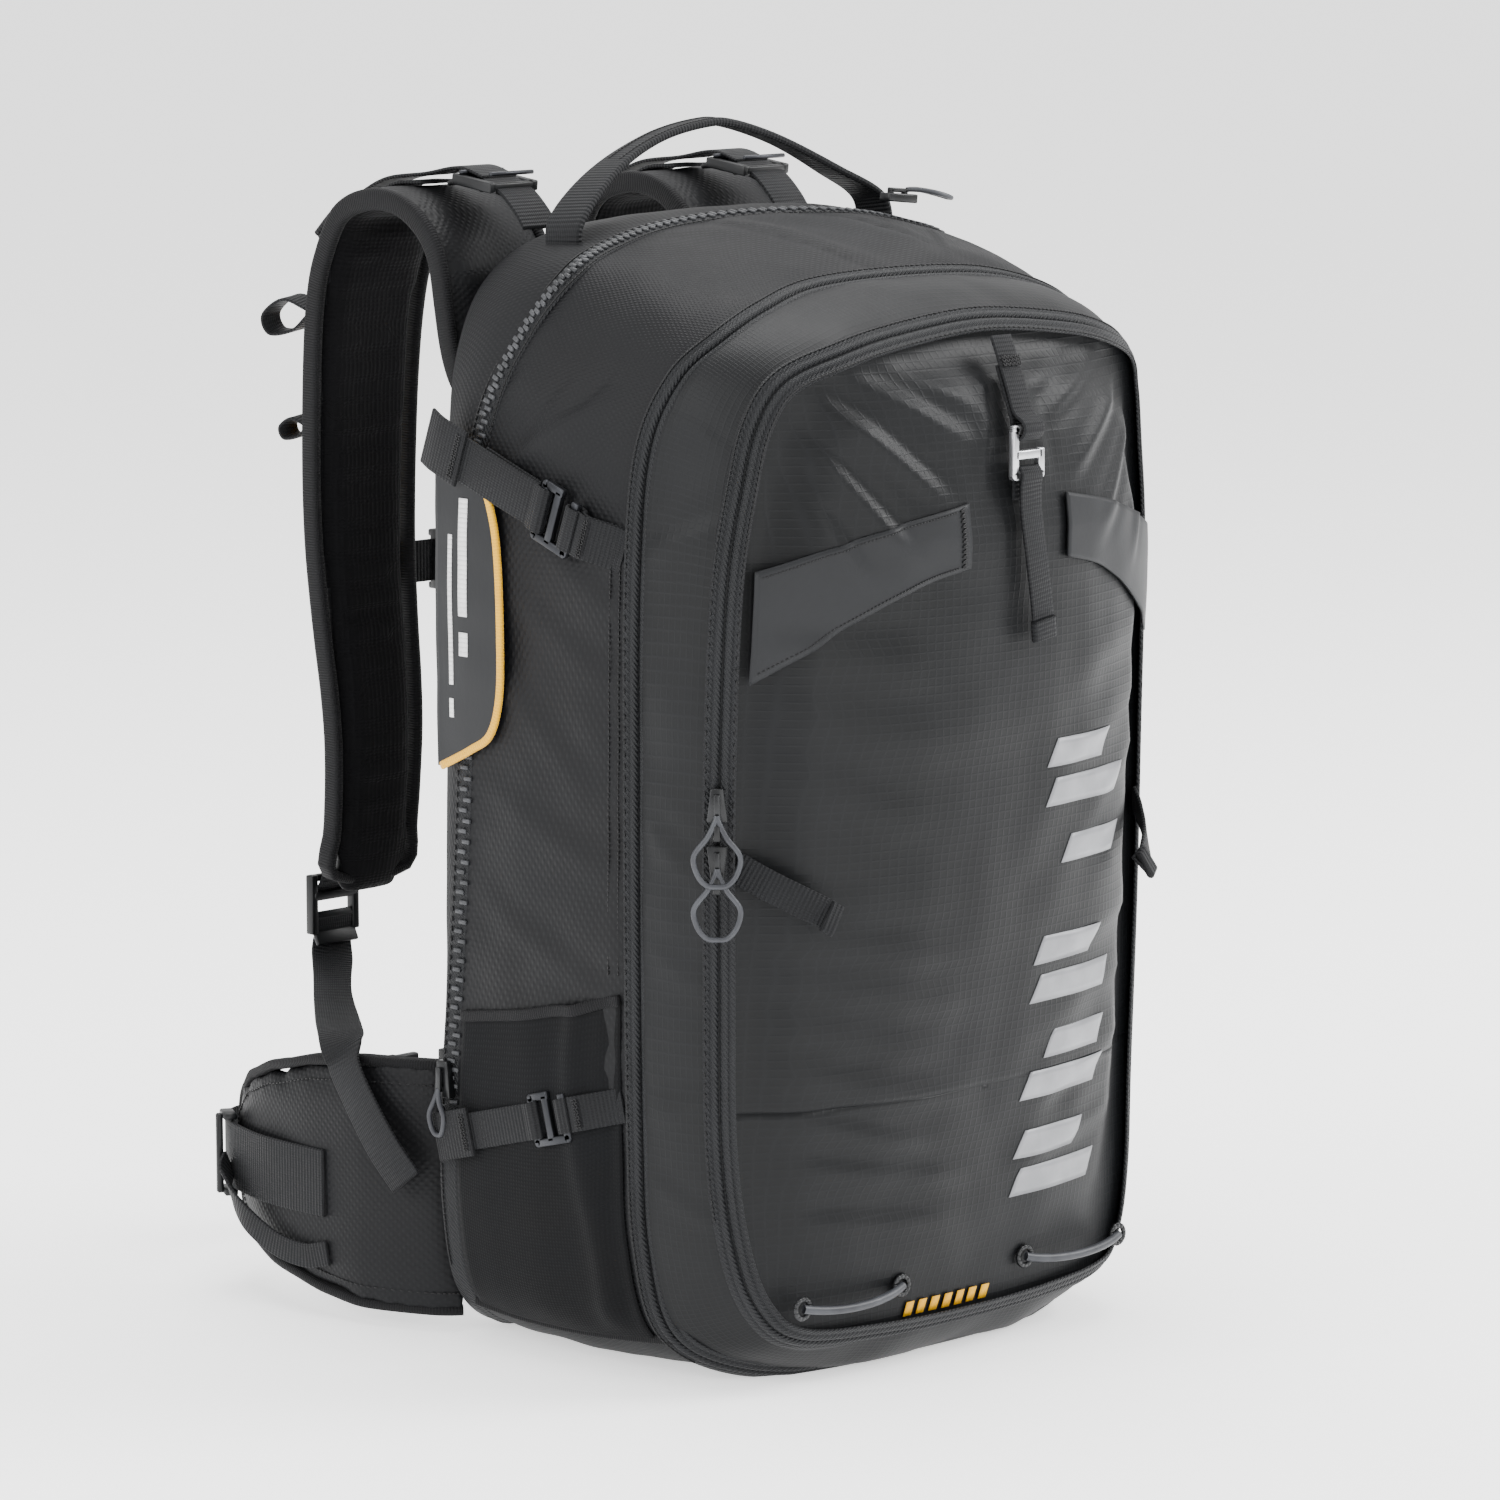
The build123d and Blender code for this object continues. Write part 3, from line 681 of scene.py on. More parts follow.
class Finishes:
    """Every finish of the pack, built once."""

    def __init__(self) -> None:
        """Build the materials."""
        # satin polyurethane-coated nylon ripstop: soft highlight, a fine square grid of thicker threads
        self.front = Cloth(
            "coated_ripstop_nylon", "0b0c0d", "121315", Weave.RIPSTOP, 3.6, 0.06, 0.46, 0.0, 14.0, 0.17
        ).build()
        # solution-dyed nylon with a small raised diamond figure, duller than the front
        self.side = Cloth(
            "dobby_nylon", "0b0b0d", "131416", Weave.DOBBY, 2.6, 0.2, 0.58, 0.0, 18.0, 0.17
        ).build()
        # stretch-woven pocket cloth: matt and even
        self.stretch = Cloth(
            "stretch_woven_nylon", "09090a", "101113", Weave.PLAIN, 1.6, 0.16, 0.75, 0.02, 24.0, 0.1
        ).build()
        # airy knitted spacer cloth over foam: dense little holes, nearly black
        self.mesh = Cloth(
            "knitted_spacer_mesh", "060607", "0e0e10", Weave.MESH, 2.4, 0.5, 0.85, 0.03, 40.0, 0.1
        ).build()
        # polyester webbing with a rib across every 1.8 mm
        self.webbing = Cloth(
            "ribbed_polyester_webbing", "0c0c0e", "17181a", Weave.RIBBED, 1.9, 0.3, 0.6, 0.02, 60.0, 0.16
        ).build()
        # polyester zip tape in a fine twill
        self.tape = Cloth(
            "twill_zip_tape", "0e0f11", "1c1d1f", Weave.TWILL, 1.5, 0.28, 0.5, 0.02, 40.0, 0.2
        ).build()
        # thermoplastic-rubber coated cloth, nearly smooth
        self.patch = Cloth(
            "rubber_coated_patch", "141517", "1d1e20", Weave.SMOOTH, 3.0, 0.05, 0.5, 0.0, 12.0, 0.22
        ).build()
        # thin polyester lining, mid grey
        self.lining = Cloth(
            "polyester_lining", "3c3e42", "4b4d51", Weave.PLAIN, 0.9, 0.05, 0.6, 0.2, 20.0
        ).build()
        # polyurethane-coated nylon of the folded airbag
        self.airbag = Cloth(
            "coated_airbag_nylon", "c4561a", "d26a2c", Weave.PLAIN, 0.8, 0.05, 0.5, 0.1, 20.0
        ).build()
        # woven edge tape, black and signal yellow
        self.binding = Cloth(
            "woven_binding", "09090a", "131315", Weave.RIBBED, 1.2, 0.2, 0.7, 0.02, 60.0, 0.15
        ).build()
        self.yellow = Cloth(
            "yellow_binding", "d09600", "dca808", Weave.RIBBED, 1.4, 0.15, 0.6, 0.2, 60.0
        ).build()
        # bonded polyester sewing thread
        self.thread = Hard("bonded_thread", "0a0a0b", "18181a", 0.55).build()
        # moulded polyoxymethylene zip teeth, slightly glossy
        self.teeth = Hard("moulded_zip_teeth", "2a2b2d", "454649", 0.38).build()
        # moulded acetal buckles, semi-matt with rubbed edges
        self.acetal = Hard("moulded_acetal", "0b0c0d", "18191b", 0.42, relief=0.03).build()
        # bead-blasted and hard-anodised aluminium
        self.dark_metal = Hard("dark_anodised_aluminium", "2c2d30", "404145", 0.38, 0.85, 0.5).build()
        self.bright_metal = Hard("clear_anodised_aluminium", "b9babd", "d5d6d8", 0.3, 0.95, 0.5).build()
        # enamelled zinc zip sliders
        self.slider = Hard("enamelled_zinc", "0c0d0e", "2a2b2d", 0.3, 0.4, 0.8).build()
        # urethane-sheathed pull cord
        self.cord = Hard("sheathed_cord", "2c2d31", "46484c", 0.42, relief=0.04).build()
        # silver reflective transfer print
        self.reflective = Hard("reflective_print", "77787b", "8b8c8f", 0.42, 0.2, 0.6).build()
        self.white_print = Hard("white_screen_print", "d8d8d8", "ececec", 0.6).build()
        self.yellow_print = Hard("yellow_screen_print", "d09600", "dca808", 0.55).build()
        # pressed polyethylene sheet and painted steel of the inner parts
        self.sheet = Hard("pressed_polyethylene", "2b2c2f", "3a3b3e", 0.5).build()
        self.bottle = Hard("painted_gas_bottle", "9a9da1", "b0b3b6", 0.35, 0.2, coat=0.3).build()
        self.grip = Hard("yellow_moulded_grip", "cc9200", "d8a208", 0.4).build()


# ------------------------------------------------------------------ the pack's shell


@dataclass
class Crease:
    """A pulled fold in cloth: a ridge with a shallow valley beside it, fading at its ends."""

    start: Vector
    end: Vector
    width: float
    height: float

    def at(self, p: Vector) -> float:
        """Height added at a point.

        Args:
            p: Point in the crease's own plane.

        Returns:
            Height in millimetres.
        """
        run = self.end - self.start
        t = (p - self.start).dot(run) / run.length_squared
        if t < -0.1 or t > 1.1:
            return 0.0
        gap = (p - self.start - run * t).length
        side = 1.0 if (p - self.start).cross(run).dot(Vector((1, 1, 1))) > 0 else -1.0
        fade = smooth(-0.1, 0.25, t) * (1 - smooth(0.7, 1.1, t))
        x = side * gap / self.width
        return self.height * fade * (math.exp(-x * x) - 0.55 * math.exp(-((x - 1.5) ** 2)))


@dataclass
class Ring:
    """One seam running round the pack, as half of a left-right symmetrical loop from top to bottom."""

    half: Sequence[tuple[float, float, float]]
    knots: list[Vector] = field(init=False)

    def __post_init__(self) -> None:
        """Mirror the half loop into a whole one."""
        right = [Vector(p) for p in self.half]
        left = [Vector((-x, y, z)) for x, y, z in self.half]
        self.knots = left[::-1][:-1] + right

    def at(self, t: float) -> Vector:
        """Point on the loop, from the bottom middle up the left side and down the right.

        Args:
            t: Share of the loop.

        Returns:
            The point.
        """
        last = len(self.knots) - 1
        x = (t % 1.0) * last
        i = int(x)
        f = x - i
        p0, p1, p2, p3 = (self.knots[(i + k) % last] for k in (-1, 0, 1, 2))
        return 0.5 * (
            2 * p1 + (p2 - p0) * f + (
                2 * p0 - 5 * p1 + 4 * p2 - p3
            ) * f**2 + (3 * p1 - p0 - 3 * p2 + p3) * f**3
        )


BACK_RING = Ring((
    (0, 94, 474), (48, 94, 474), (80, 94, 469), (104, 94, 453), (117, 94, 428), (122, 94, 398), (123, 94, 340),
    (123, 94, 256), (123, 94, 180), (123, 94, 108), (121, 94, 60), (112, 93, 22), (90, 92, 5), (50, 91, 1),
    (0, 91, 1),
))
BURST_RING = Ring((
    (0, 33, 482), (50, 32, 480), (86, 29, 474), (112, 27, 464), (126, 42, 438), (135, 57, 400), (138, 63, 340),
    (138, 66, 256), (138, 71, 180), (138, 77, 112), (136, 80, 60), (127, 80, 20), (100, 80, 2), (50, 80, 0),
    (0, 80, 0),
))
MAIN_RING = Ring((
    (0, -53, 460), (50, -54, 458), (82, -58, 451), (106, -57, 440), (121, -47, 424), (130, -38, 394),
    (134, -36, 340), (134, -35, 256), (134, -35, 180), (133, -35, 108), (131, -36, 60), (122, -41, 22),
    (98, -58, 6), (50, -70, 0), (0, -72, 0),
))
TOOL_RING = Ring((
    (0, -100, 445), (48, -100, 441), (78, -98, 435), (103, -90, 425), (114, -85, 408), (120, -82, 382),
    (126, -79, 338), (127.4, -76, 256), (126.8, -75, 180), (125, -74, 108), (120, -77, 63), (110, -81, 36),
    (92, -86, 22), (50, -90, 18), (0, -91, 17),
))
HEART = Vector((0, 10, 230))


@dataclass
class ShellPanel:
    """Cloth panel between two seams, filled out between them and pulled into creases."""

    name: str
    inner: Ring
    outer: Ring
    swell: float
    creases: Sequence[Crease] = ()
    rumple: float = 1.2
    grain: float = 0.022
    start: float = 0.0
    stop: float = 1.0
    cells: tuple[int, int] = (360, 22)
    depth: float = 90.0

    def outward(self, p: Vector) -> Vector:
        """Direction away from the middle of the pack at a point.

        Args:
            p: Point on the shell.

        Returns:
            Unit direction.
        """
        core = Vector((p.x * 0.62, p.y * 0.85, 230 + (p.z - 230) * 0.72))
        return (p - core).normalized()

    def surface(self, u: float, v: float) -> Vector:
        """Surface point.

        Args:
            u: Share round the pack between start and stop.
            v: Share from the inner seam to the outer.

        Returns:
            The point.
        """
        t = self.start + (self.stop - self.start) * u
        a, b = self.inner.at(t), self.outer.at(t)
        p = a.lerp(b, v)
        face = self.outward(p)
        full = math.sin(math.pi * v) ** 0.8
        lift = self.swell * full
        calm = smooth(0.0, 0.14, v) * (1 - smooth(0.86, 1.0, v))
        lift += calm * self.rumple * (noise.noise(p * self.grain) + 0.5 * noise.noise(p * self.grain * 2.3))
        lift += calm * sum(crease.at(p) for crease in self.creases)
        p = p + face * lift
        p.z = max(p.z, 0.4)
        return p

    def build(
        self, finish: bpy.types.Material, lining: Optional[bpy.types.Material] = None
    ) -> bpy.types.Object:
        """Make the panel.

        Args:
            finish: Cloth.
            lining: Cloth inside.

        Returns:
            The panel.
        """
        girth = 1500.0 * (self.stop - self.start)
        piece = grid_sheet(
            self.name, self.cells, self.surface, finish, (girth, self.depth), merge=0.05, outward=HEART
        )
        thicken(piece, 2.0, lining)
        return piece


@dataclass
class ZipRun:
    """Reversed-coil zip along a seam: two rolls of tape that meet in a dark line, with sewn edges."""

    name: str
    ring: Ring
    lean: float
    roll: float = 3.6
    proud: float = 1.5
    start: float = 0.0
    stop: float = 1.0
    steps: int = 420

    def stations(
        self, start: Optional[float] = None, stop: Optional[float] = None, steps: int = 0
    ) -> list[Station]:
        """Stations along the seam with the width direction in the cloth.

        Args:
            start: Share of the loop where it begins.
            stop: Share where it ends.
            steps: Number of stations less one.

        Returns:
            Stations.
        """
        first = self.start if start is None else start
        last = self.stop if stop is None else stop
        count = steps or self.steps
        made, run, before = [], 0.0, None
        for k in range(count + 1):
            t = first + (last - first) * k / count
            at = self.ring.at(t)
            at.z = max(at.z, 1.8)
            ahead = (self.ring.at(t + 0.001) - self.ring.at(t - 0.001)).normalized()
            core = Vector((at.x * 0.62, 0, 230 + (at.z - 230) * 0.72))
            out = Vector((at.x - core.x, 0, at.z - core.z)).normalized()
            lean = math.radians(self.lean)
            out = (out * math.cos(lean) + Vector((0, -1, 0)) * math.sin(lean)).normalized()
            out = (out - ahead * out.dot(ahead)).normalized()
            across = out.cross(ahead).normalized()
            run += (at - before).length if before is not None else 0.0
            before = at
            made.append(Station(at, across, out, run))
        return made

    def profile(self) -> list[tuple[float, float]]:
        """Cross-section of the outer half: a flat sewn edge, a convex roll and the dip at the middle."""
        edge, roll, up = self.roll + 3.2, self.roll, self.proud
        half = [
            (0.15, -0.6), (edge, -0.6), (edge, 0.5), (roll + 0.9, 0.7), (roll + 0.3, 0.3),
            (roll - 0.3, up * 0.72)
        ]
        return half + [(roll * 0.62, up), (roll * 0.34, up * 0.88), (0.4, 0.35), (0.15, -0.6)]

    def build(
        self, finish: bpy.types.Material, part: str, side: int, start: float, stop: float
    ) -> bpy.types.Object:
        """Make one half of the tape over a stretch of the seam.

        Args:
            finish: Tape cloth.
            part: Word for the piece's name.
            side: 1 for the half towards the back, -1 for the half towards the front.
            start: Share of the loop where it begins.
            stop: Share where it ends.

        Returns:
            The tape.
        """
        steps = int(self.steps * (stop - start))
        profile = [(a * side, h) for a, h in self.profile()][::side]
        return swept(f"{self.name}_{part}", self.stations(start, stop, steps), profile, finish, caps=False)

    def stitches(
        self, name: str, finish: bpy.types.Material, off: float, start: float, stop: float,
        sides: Sequence[int] = (-1, 1),
    ) -> bpy.types.Object:
        """Rows of stitches beside the rolls.

        Args:
            name: Piece name.
            finish: Thread.
            off: Distance of each row from the middle.
            start: Share of the loop where they begin.
            stop: Share where they end.
            sides: 1 for the row towards the back, -1 for the row towards the front.

        Returns:
            The stitches.
        """
        line = self.stations(start, stop, max(20, int(1500 * (stop - start) / 3.2)))
        places = []
        for k, s in enumerate(line[:-1]):
            ahead = (line[k + 1].at - s.at)
            for side in sides:
                at = s.at + ahead * 0.5 + s.across * side * off + s.up * 0.75
                places.append(placed(at, ahead, s.across, (2.2, 0.55, 0.5)))
        return blocks(name, places, finish)


@dataclass
class BurstZip(ZipRun):
    """Moulded-tooth zip that opens for the airbag: alternating teeth on two flat tapes."""

    pitch: float = 3.1

    def tape(self, finish: bpy.types.Material) -> bpy.types.Object:
        """Make the flat tape with a bead under the teeth."""
        flat = [
            (6.2, -0.5), (6.2, 0.5), (2.8, 0.6), (2.0, 1.0), (0.0, 0.6), (-2.0, 1.0), (-2.8, 0.6),
            (-6.2, 0.5), (-6.2, -0.5)
        ]
        return swept(self.name, self.stations(), flat, finish, caps=False)

    def teeth(self, name: str, finish: bpy.types.Material, start: float, stop: float) -> bpy.types.Object:
        """Alternating teeth.

        Args:
            name: Piece name.
            finish: Moulded plastic.
            start: Share of the loop where they begin.
            stop: Share where they end.

        Returns:
            The teeth.
        """
        line = self.stations(start, stop, int(1480 * (stop - start) / self.pitch))
        places = []
        for k, s in enumerate(line[:-1]):
            ahead = line[k + 1].at - s.at
            side = 1 if k % 2 else -1
            places.append(
                placed(s.at + s.across * side * 1.0 + s.up * 1.2, ahead, s.across, (1.9, 4.0, 1.5))
            )
        return blocks(name, places, finish, bevel=0.3)


@dataclass
class FrontPanel:
    """Bulging front of the tool compartment inside its zip, in two cloths sewn across at the fold."""

    low: float = 120.0
    cells: tuple[int, int] = (300, 44)
    swell: Sequence[tuple[float, float]] = (
        (17, -91.5), (34, -93), (70, -99), (120, -106), (200, -116), (300, -123.5), (358, -125), (395, -121),
        (419, -114), (436, -105), (445, -100),
    )

    def __post_init__(self) -> None:
        """Work out the creases and the seam's side view once."""
        self.folds = self.creases()
        self.side = [(p.x, p.z, p.y) for p in (TOOL_RING.at(0.5 + 0.5 * k / 200) for k in range(201))]

    def depth_at(self, z: float) -> float:
        """Middle line's depth for a height.

        Args:
            z: Height.

        Returns:
            Y of the middle line.
        """
        pts = self.swell
        if z <= pts[0][0]:
            return pts[0][1]
        for (z0, y0), (z1, y1) in zip(pts, pts[1:]):
            if z <= z1:
                t = (z - z0) / (z1 - z0)
                return y0 + (y1 - y0) * t * t * (3 - 2 * t) * 0.35 + (y1 - y0) * t * 0.65
        return pts[-1][1]

    def creases(self) -> list[Crease]:
        """Folds pulled from the corners, the tabs and the hooked strap."""
        def fold(x0: float, z0: float, x1: float, z1: float, width: float, height: float) -> Crease:
            """Describe one fold by its two ends, its width and its height."""
            return Crease(Vector((x0, 0, z0)), Vector((x1, 0, z1)), width, height)

        return [
            # pulled down from the upper left corner
            fold(-98, 424, -40, 372, 5.0, 2.4), fold(
                -108, 412, -58, 350, 4.5, 2.0
            ), fold(-84, 432, -24, 396, 4.0, 1.7),
            fold(-112, 396, -78, 342, 4.0, 1.5), fold(-66, 436, -14, 408, 3.5, 1.2),
            # and from the upper right
            fold(98, 424, 36, 380, 5.0, 2.4), fold(108, 410, 52, 352, 4.5, 1.9), fold(84, 432, 20, 404, 4.0, 1.6),
            fold(114, 392, 84, 336, 4.0, 1.4), fold(60, 436, 12, 414, 3.5, 1.2),
            # under the wing patches
            fold(
                -114, 318, -44, 306, 5.5, 1.8
            ), fold(-112, 292, -30, 270, 6.0, 1.6), fold(-110, 268, -44, 236, 5.5, 1.5),
            fold(114, 312, 40, 296, 5.5, 1.5), fold(112, 286, 34, 258, 6.0, 1.4), fold(110, 262, 48, 226, 5.0, 1.4),
            # slack level folds below the left tab
            fold(
                -116, 196, -20, 176, 6.0, 2.2
            ), fold(-116, 178, -10, 158, 6.0, 2.4), fold(-114, 160, -26, 138, 5.0, 2.0),
            fold(
                -112, 140, -18, 116, 5.5, 2.2
            ), fold(-108, 118, -30, 96, 5.0, 1.9), fold(-104, 96, -8, 80, 5.0, 1.8),
            fold(-96, 72, -16, 62, 4.5, 1.5), fold(-116, 210, -64, 203, 4.0, 1.4),
            fold(112, 190, 30, 170, 6.0, 1.6), fold(112, 160, 24, 140, 6.0, 1.6), fold(110, 132, 36, 108, 5.0, 1.4),
            fold(104, 96, 20, 80, 5.0, 1.3),
            # the strap's sewn end pulls the middle up
            fold(-6, 436, -22, 380, 4.0, 1.3), fold(8, 436, 20, 378, 4.0, 1.3),
        ]

    def at_height(self, x: float, z: float) -> Vector:
        """Point of the panel's face.

        Args:
            x: Across.
            z: Height.

        Returns:
            The point.
        """
        flat = Vector((x, 0, z))
        mid, (wide, edge_y) = self.depth_at(z), self.edge_at(z)
        share = min(1.0, abs(x) / max(wide, 1.0))
        folds = sum(c.at(flat) for c in self.folds)
        soft = 1.5 * noise.noise(flat * 0.020) + 0.8 * noise.noise(flat * 0.045)
        return Vector((x, mid + (edge_y - mid) * share**2.5 - folds - soft, z))

    def surface(self, u: float, v: float) -> Vector:
        """Point between the seam and the middle line.

        Args:
            u: Share of the seam loop.
            v: 0 at the seam, 1 at the middle line.

        Returns:
            The point.
        """
        rim = TOOL_RING.at(u)
        spine_z = min(330.0, max(120.0, rim.z))
        x = rim.x * (1 - v)
        z = rim.z + (spine_z - rim.z) * v
        calm = smooth(0.0, 0.25, v)
        face = self.at_height(x, z)
        return Vector((x, rim.y * (1 - calm) + face.y * calm, z))

    def edge_at(self, z: float) -> tuple[float, float]:
        """Half width and depth of the seam at a height.

        Args:
            z: Height.

        Returns:
            Half width and Y.
        """
        side = self.side
        if z >= side[0][1]:
            return side[0][0], side[0][2]
        for (x0, z0, y0), (x1, z1, y1) in zip(side, side[1:]):
            if z >= z1:
                t = (z - z1) / max(z0 - z1, 1e-6)
                return x1 + (x0 - x1) * t, y1 + (y0 - y1) * t
        return side[-1][0], side[-1][2]

    def build(self, finishes: "Finishes") -> list[bpy.types.Object]:
        """Make the lower and upper cloths.

        Args:
            finishes: Materials.

        Returns:
            Lower and upper panel.
        """
        pieces = []
        for name, keep_low in (("front_panel_lower", True), ("front_panel_upper", False)):
            piece = grid_sheet(
                name, self.cells, self.surface, finishes.front, (1300, 120), merge=0.05,
                outward=Vector((0, 0, 230)),
            )
            self.flat_weave(piece)
            bm = bmesh.new()
            bm.from_mesh(piece.data)
            sign = 1 if keep_low else -1
            bmesh.ops.bisect_plane(
                bm, geom=bm.verts[:] + bm.edges[:] + bm.faces[:], dist=1e-6,
                plane_co=(0, 0, self.low * MM), plane_no=(0, 0, sign), clear_outer=True,
            )
            bm.to_mesh(piece.data)
            bm.free()
            thicken(piece, 2.4, finishes.lining)
            pieces.append(piece)
        return pieces

    def flat_weave(self, piece: bpy.types.Object) -> None:
        """Lay the weave's map flat over the front.

        Args:
            piece: The panel.
        """
        layer = piece.data.uv_layers["weave"].data
        for loop in piece.data.loops:
            co = piece.data.vertices[loop.vertex_index].co
            layer[loop.index].uv = (co.x + co.y * 0.6, co.z)


@dataclass
class Shell:
    """The pack's body: back, sides, top, gusset, front, zips and their stitching."""

    finishes: Finishes

    def side_creases(self) -> list[Crease]:
        """Folds of the panel between the burst zip and the main zip, pulled by the hooked straps."""
        made = []
        for s in (-1, 1):
            def fold(y0: float, z0: float, y1: float, z1: float, width: float, height: float) -> None:
                """Describe one fold by its two ends, its width and its height."""
                made.append(Crease(Vector((s * 136, y0, z0)), Vector((s * 132, y1, z1)), width, height))

            fold(40, 380, -30, 420, 5.0, 2.6)
            fold(30, 392, -34, 440, 4.0, 2.0)
            fold(46, 408, -20, 446, 4.5, 1.8)
            fold(20, 350, -32, 322, 4.5, 1.6)
            fold(40, 330, -28, 292, 5.5, 1.4)
            fold(56, 300, -10, 250, 6.0, 1.3)
            fold(60, 250, -24, 214, 6.0, 1.1)
            fold(60, 200, -28, 160, 6.0, 1.3)
            fold(40, 120, -30, 142, 5.0, 1.4)
            fold(50, 150, -30, 172, 4.5, 1.1)
        return made

    def top_creases(self) -> list[Crease]:
        """Folds of the top between the two zips."""
        def fold(x0: float, y0: float, x1: float, y1: float, width: float, height: float) -> Crease:
            """Describe one fold by its two ends, its width and its height."""
            return Crease(Vector((x0, y0, 482)), Vector((x1, y1, 466)), width, height)

        return [
            fold(-90, 20, -40, -46, 5.0, 1.6), fold(-30, 26, 6, -50, 6.0, 1.4), fold(40, 26, 74, -50, 5.0, 1.5),
            fold(96, 22, 40, -46, 5.0, 1.1), fold(-104, 0, -70, -52, 4.0, 1.4),
        ]

    def build(self) -> None:
        """Make and book every piece of the shell."""
        f = self.finishes
        rear = ShellPanel(
            "rear_band", BACK_RING, BURST_RING, 5.0, rumple=0.8, cells=(300, 12), depth=40
        ).build(f.side, f.lining)
        settle(rear, "pack", "shell_fabric", "back_tub", "bottom_boot", "airbag_zip")
        middle = ShellPanel(
            "side_and_top_panel", BURST_RING, MAIN_RING, 4.0, self.side_creases() + self.top_creases(), rumple=1.8,
            cells=(420, 36), depth=100,
        ).build(f.side, f.lining)
        settle(middle, "pack", "shell_fabric")
        gusset = ShellPanel(
            "front_gusset", MAIN_RING, TOOL_RING, 2.5, self.gusset_creases(), rumple=1.4, cells=(360, 16), depth=50
        ).build(f.front, f.lining)
        booked(gusset, "pack and front_section", "front_fabric", "front_frame", "main_zip_front")
        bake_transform(gusset)
        back = grid_sheet(
            "back_cloth", (200, 24), self.back_surface, f.side, (1500, 200), merge=0.05, outward=HEART
        )
        thicken(back, 2.0, f.lining)
        settle(back, "pack", "shell_fabric")
        self.build_zips()
        self.build_front()

    def gusset_creases(self) -> list[Crease]:
        """Folds across the gusset beside the side straps."""
        made = []
        for s in (-1, 1):
            for z0, z1, h in (
                (412, 396, 1.2), (352, 366, 1.4), (240, 214, 1.6), (190, 172, 1.0), (118, 132, 1.2),
                (90, 74, 1.0)
            ):
                made.append(Crease(Vector((s * 133, -38, z0)), Vector((s * 124, -76, z1)), 4.0, h))
        return made

    def back_surface(self, u: float, v: float) -> Vector:
        """Flat back closing the rear band.

        Args:
            u: Share of the seam loop.
            v: 0 at the seam, 1 at the middle line.

        Returns:
            The point.
        """
        rim = BACK_RING.at(u)
        mid = Vector((0, 93.5, min(380.0, max(100.0, rim.z))))
        p = rim.lerp(mid, v)
        return Vector((p.x, p.y + 0.4 * noise.noise(p * 0.03), p.z))

    def build_zips(self) -> None:
        """Make the three zips with their stitching and teeth."""
        f = self.finishes
        burst = BurstZip("burst_zip_tape", BURST_RING, 8.0)
        settle(burst.tape(f.tape), "pack", "zip_tape")
        settle(burst.teeth("burst_zip_teeth", f.teeth, 0.175, 0.825), "pack", "burst_teeth")
        settle(burst.stitches("burst_zip_stitching", f.thread, 5.2, 0.12, 0.88), "pack", "zip_tape")
        main = ZipRun("main_zip_tape", MAIN_RING, 30.0)
        settle(main.build(f.tape, "tub_half", 1, 0.0, 1.0), "pack", "zip_tape", "main_zip_tub")
        tape = main.build(f.tape, "front_half", -1, 0.0, 1.0)
        booked(tape, "pack and front_section", "zip_tape")
        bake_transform(tape)
        settle(main.stitches("main_zip_stitching_tub", f.thread, 6.0, 0.09, 0.91, (1,)), "pack", "zip_tape")
        settle(
            main.stitches("main_zip_stitching_front", f.thread, 6.0, 0.155, 0.845, (-1,)), "front_section",
            "zip_tape"
        )
        tool = ZipRun("tool_zip_tape", TOOL_RING, 42.0)
        tape = tool.build(f.tape, "section_half", 1, 0.0, 1.0)
        booked(tape, "pack and front_section", "zip_tape", "tool_zip_inner")
        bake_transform(tape)
        tape = tool.build(f.tape, "low_half", -1, 0.816, 1.184)
        booked(tape, "pack and front_section", "zip_tape")
        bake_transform(tape)
        tape = tool.build(f.tape, "lid_half", -1, 0.184, 0.816)
        booked(tape, "front_section and lid", "zip_tape", "tool_zip_outer")
        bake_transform(tape)
        settle(
            tool.stitches("tool_zip_stitching_section", f.thread, 6.0, 0.155, 0.845, (1,)), "front_section",
            "zip_tape"
        )
        settle(
            tool.stitches("tool_zip_stitching_lid", f.thread, 6.0, 0.232, 0.768, (-1,)), "lid", "zip_tape"
        )

    def build_front(self) -> None:
        """Make the two front cloths."""
        lower, upper = FrontPanel().build(self.finishes)
        booked(lower, "pack and front_section", "front_fabric", "lower_front")
        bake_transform(lower)
        booked(upper, "front_section and lid", "front_fabric", "tool_lid")
        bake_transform(upper)


# ------------------------------------------------------------------ webbing, hooks and small parts


@dataclass
class Strap:
    """Flat woven strap laid along knots, with a rolled edge and a little twist."""

    name: str
    knots: Sequence[Vector]
    across: Sequence[Vector]
    width: float
    thick: float = 1.7
    steps: int = 60
    pinch: Optional[Callable[[float], float]] = None

    def build(self, finish: bpy.types.Material) -> bpy.types.Object:
        """Make the strap.

        Args:
            finish: Webbing.

        Returns:
            The strap.
        """
        line = rail(self.knots, self.across, self.steps)
        profile = outline_box(self.width, self.thick, self.thick * 0.42, 2)

        def shape(t: float, a: float, h: float) -> tuple[float, float]:
            """Scale a profile point to the width there."""
            share = self.pinch(t) if self.pinch else 1.0
            return a * share, h

        return swept(self.name, line, profile, finish, shape=shape)


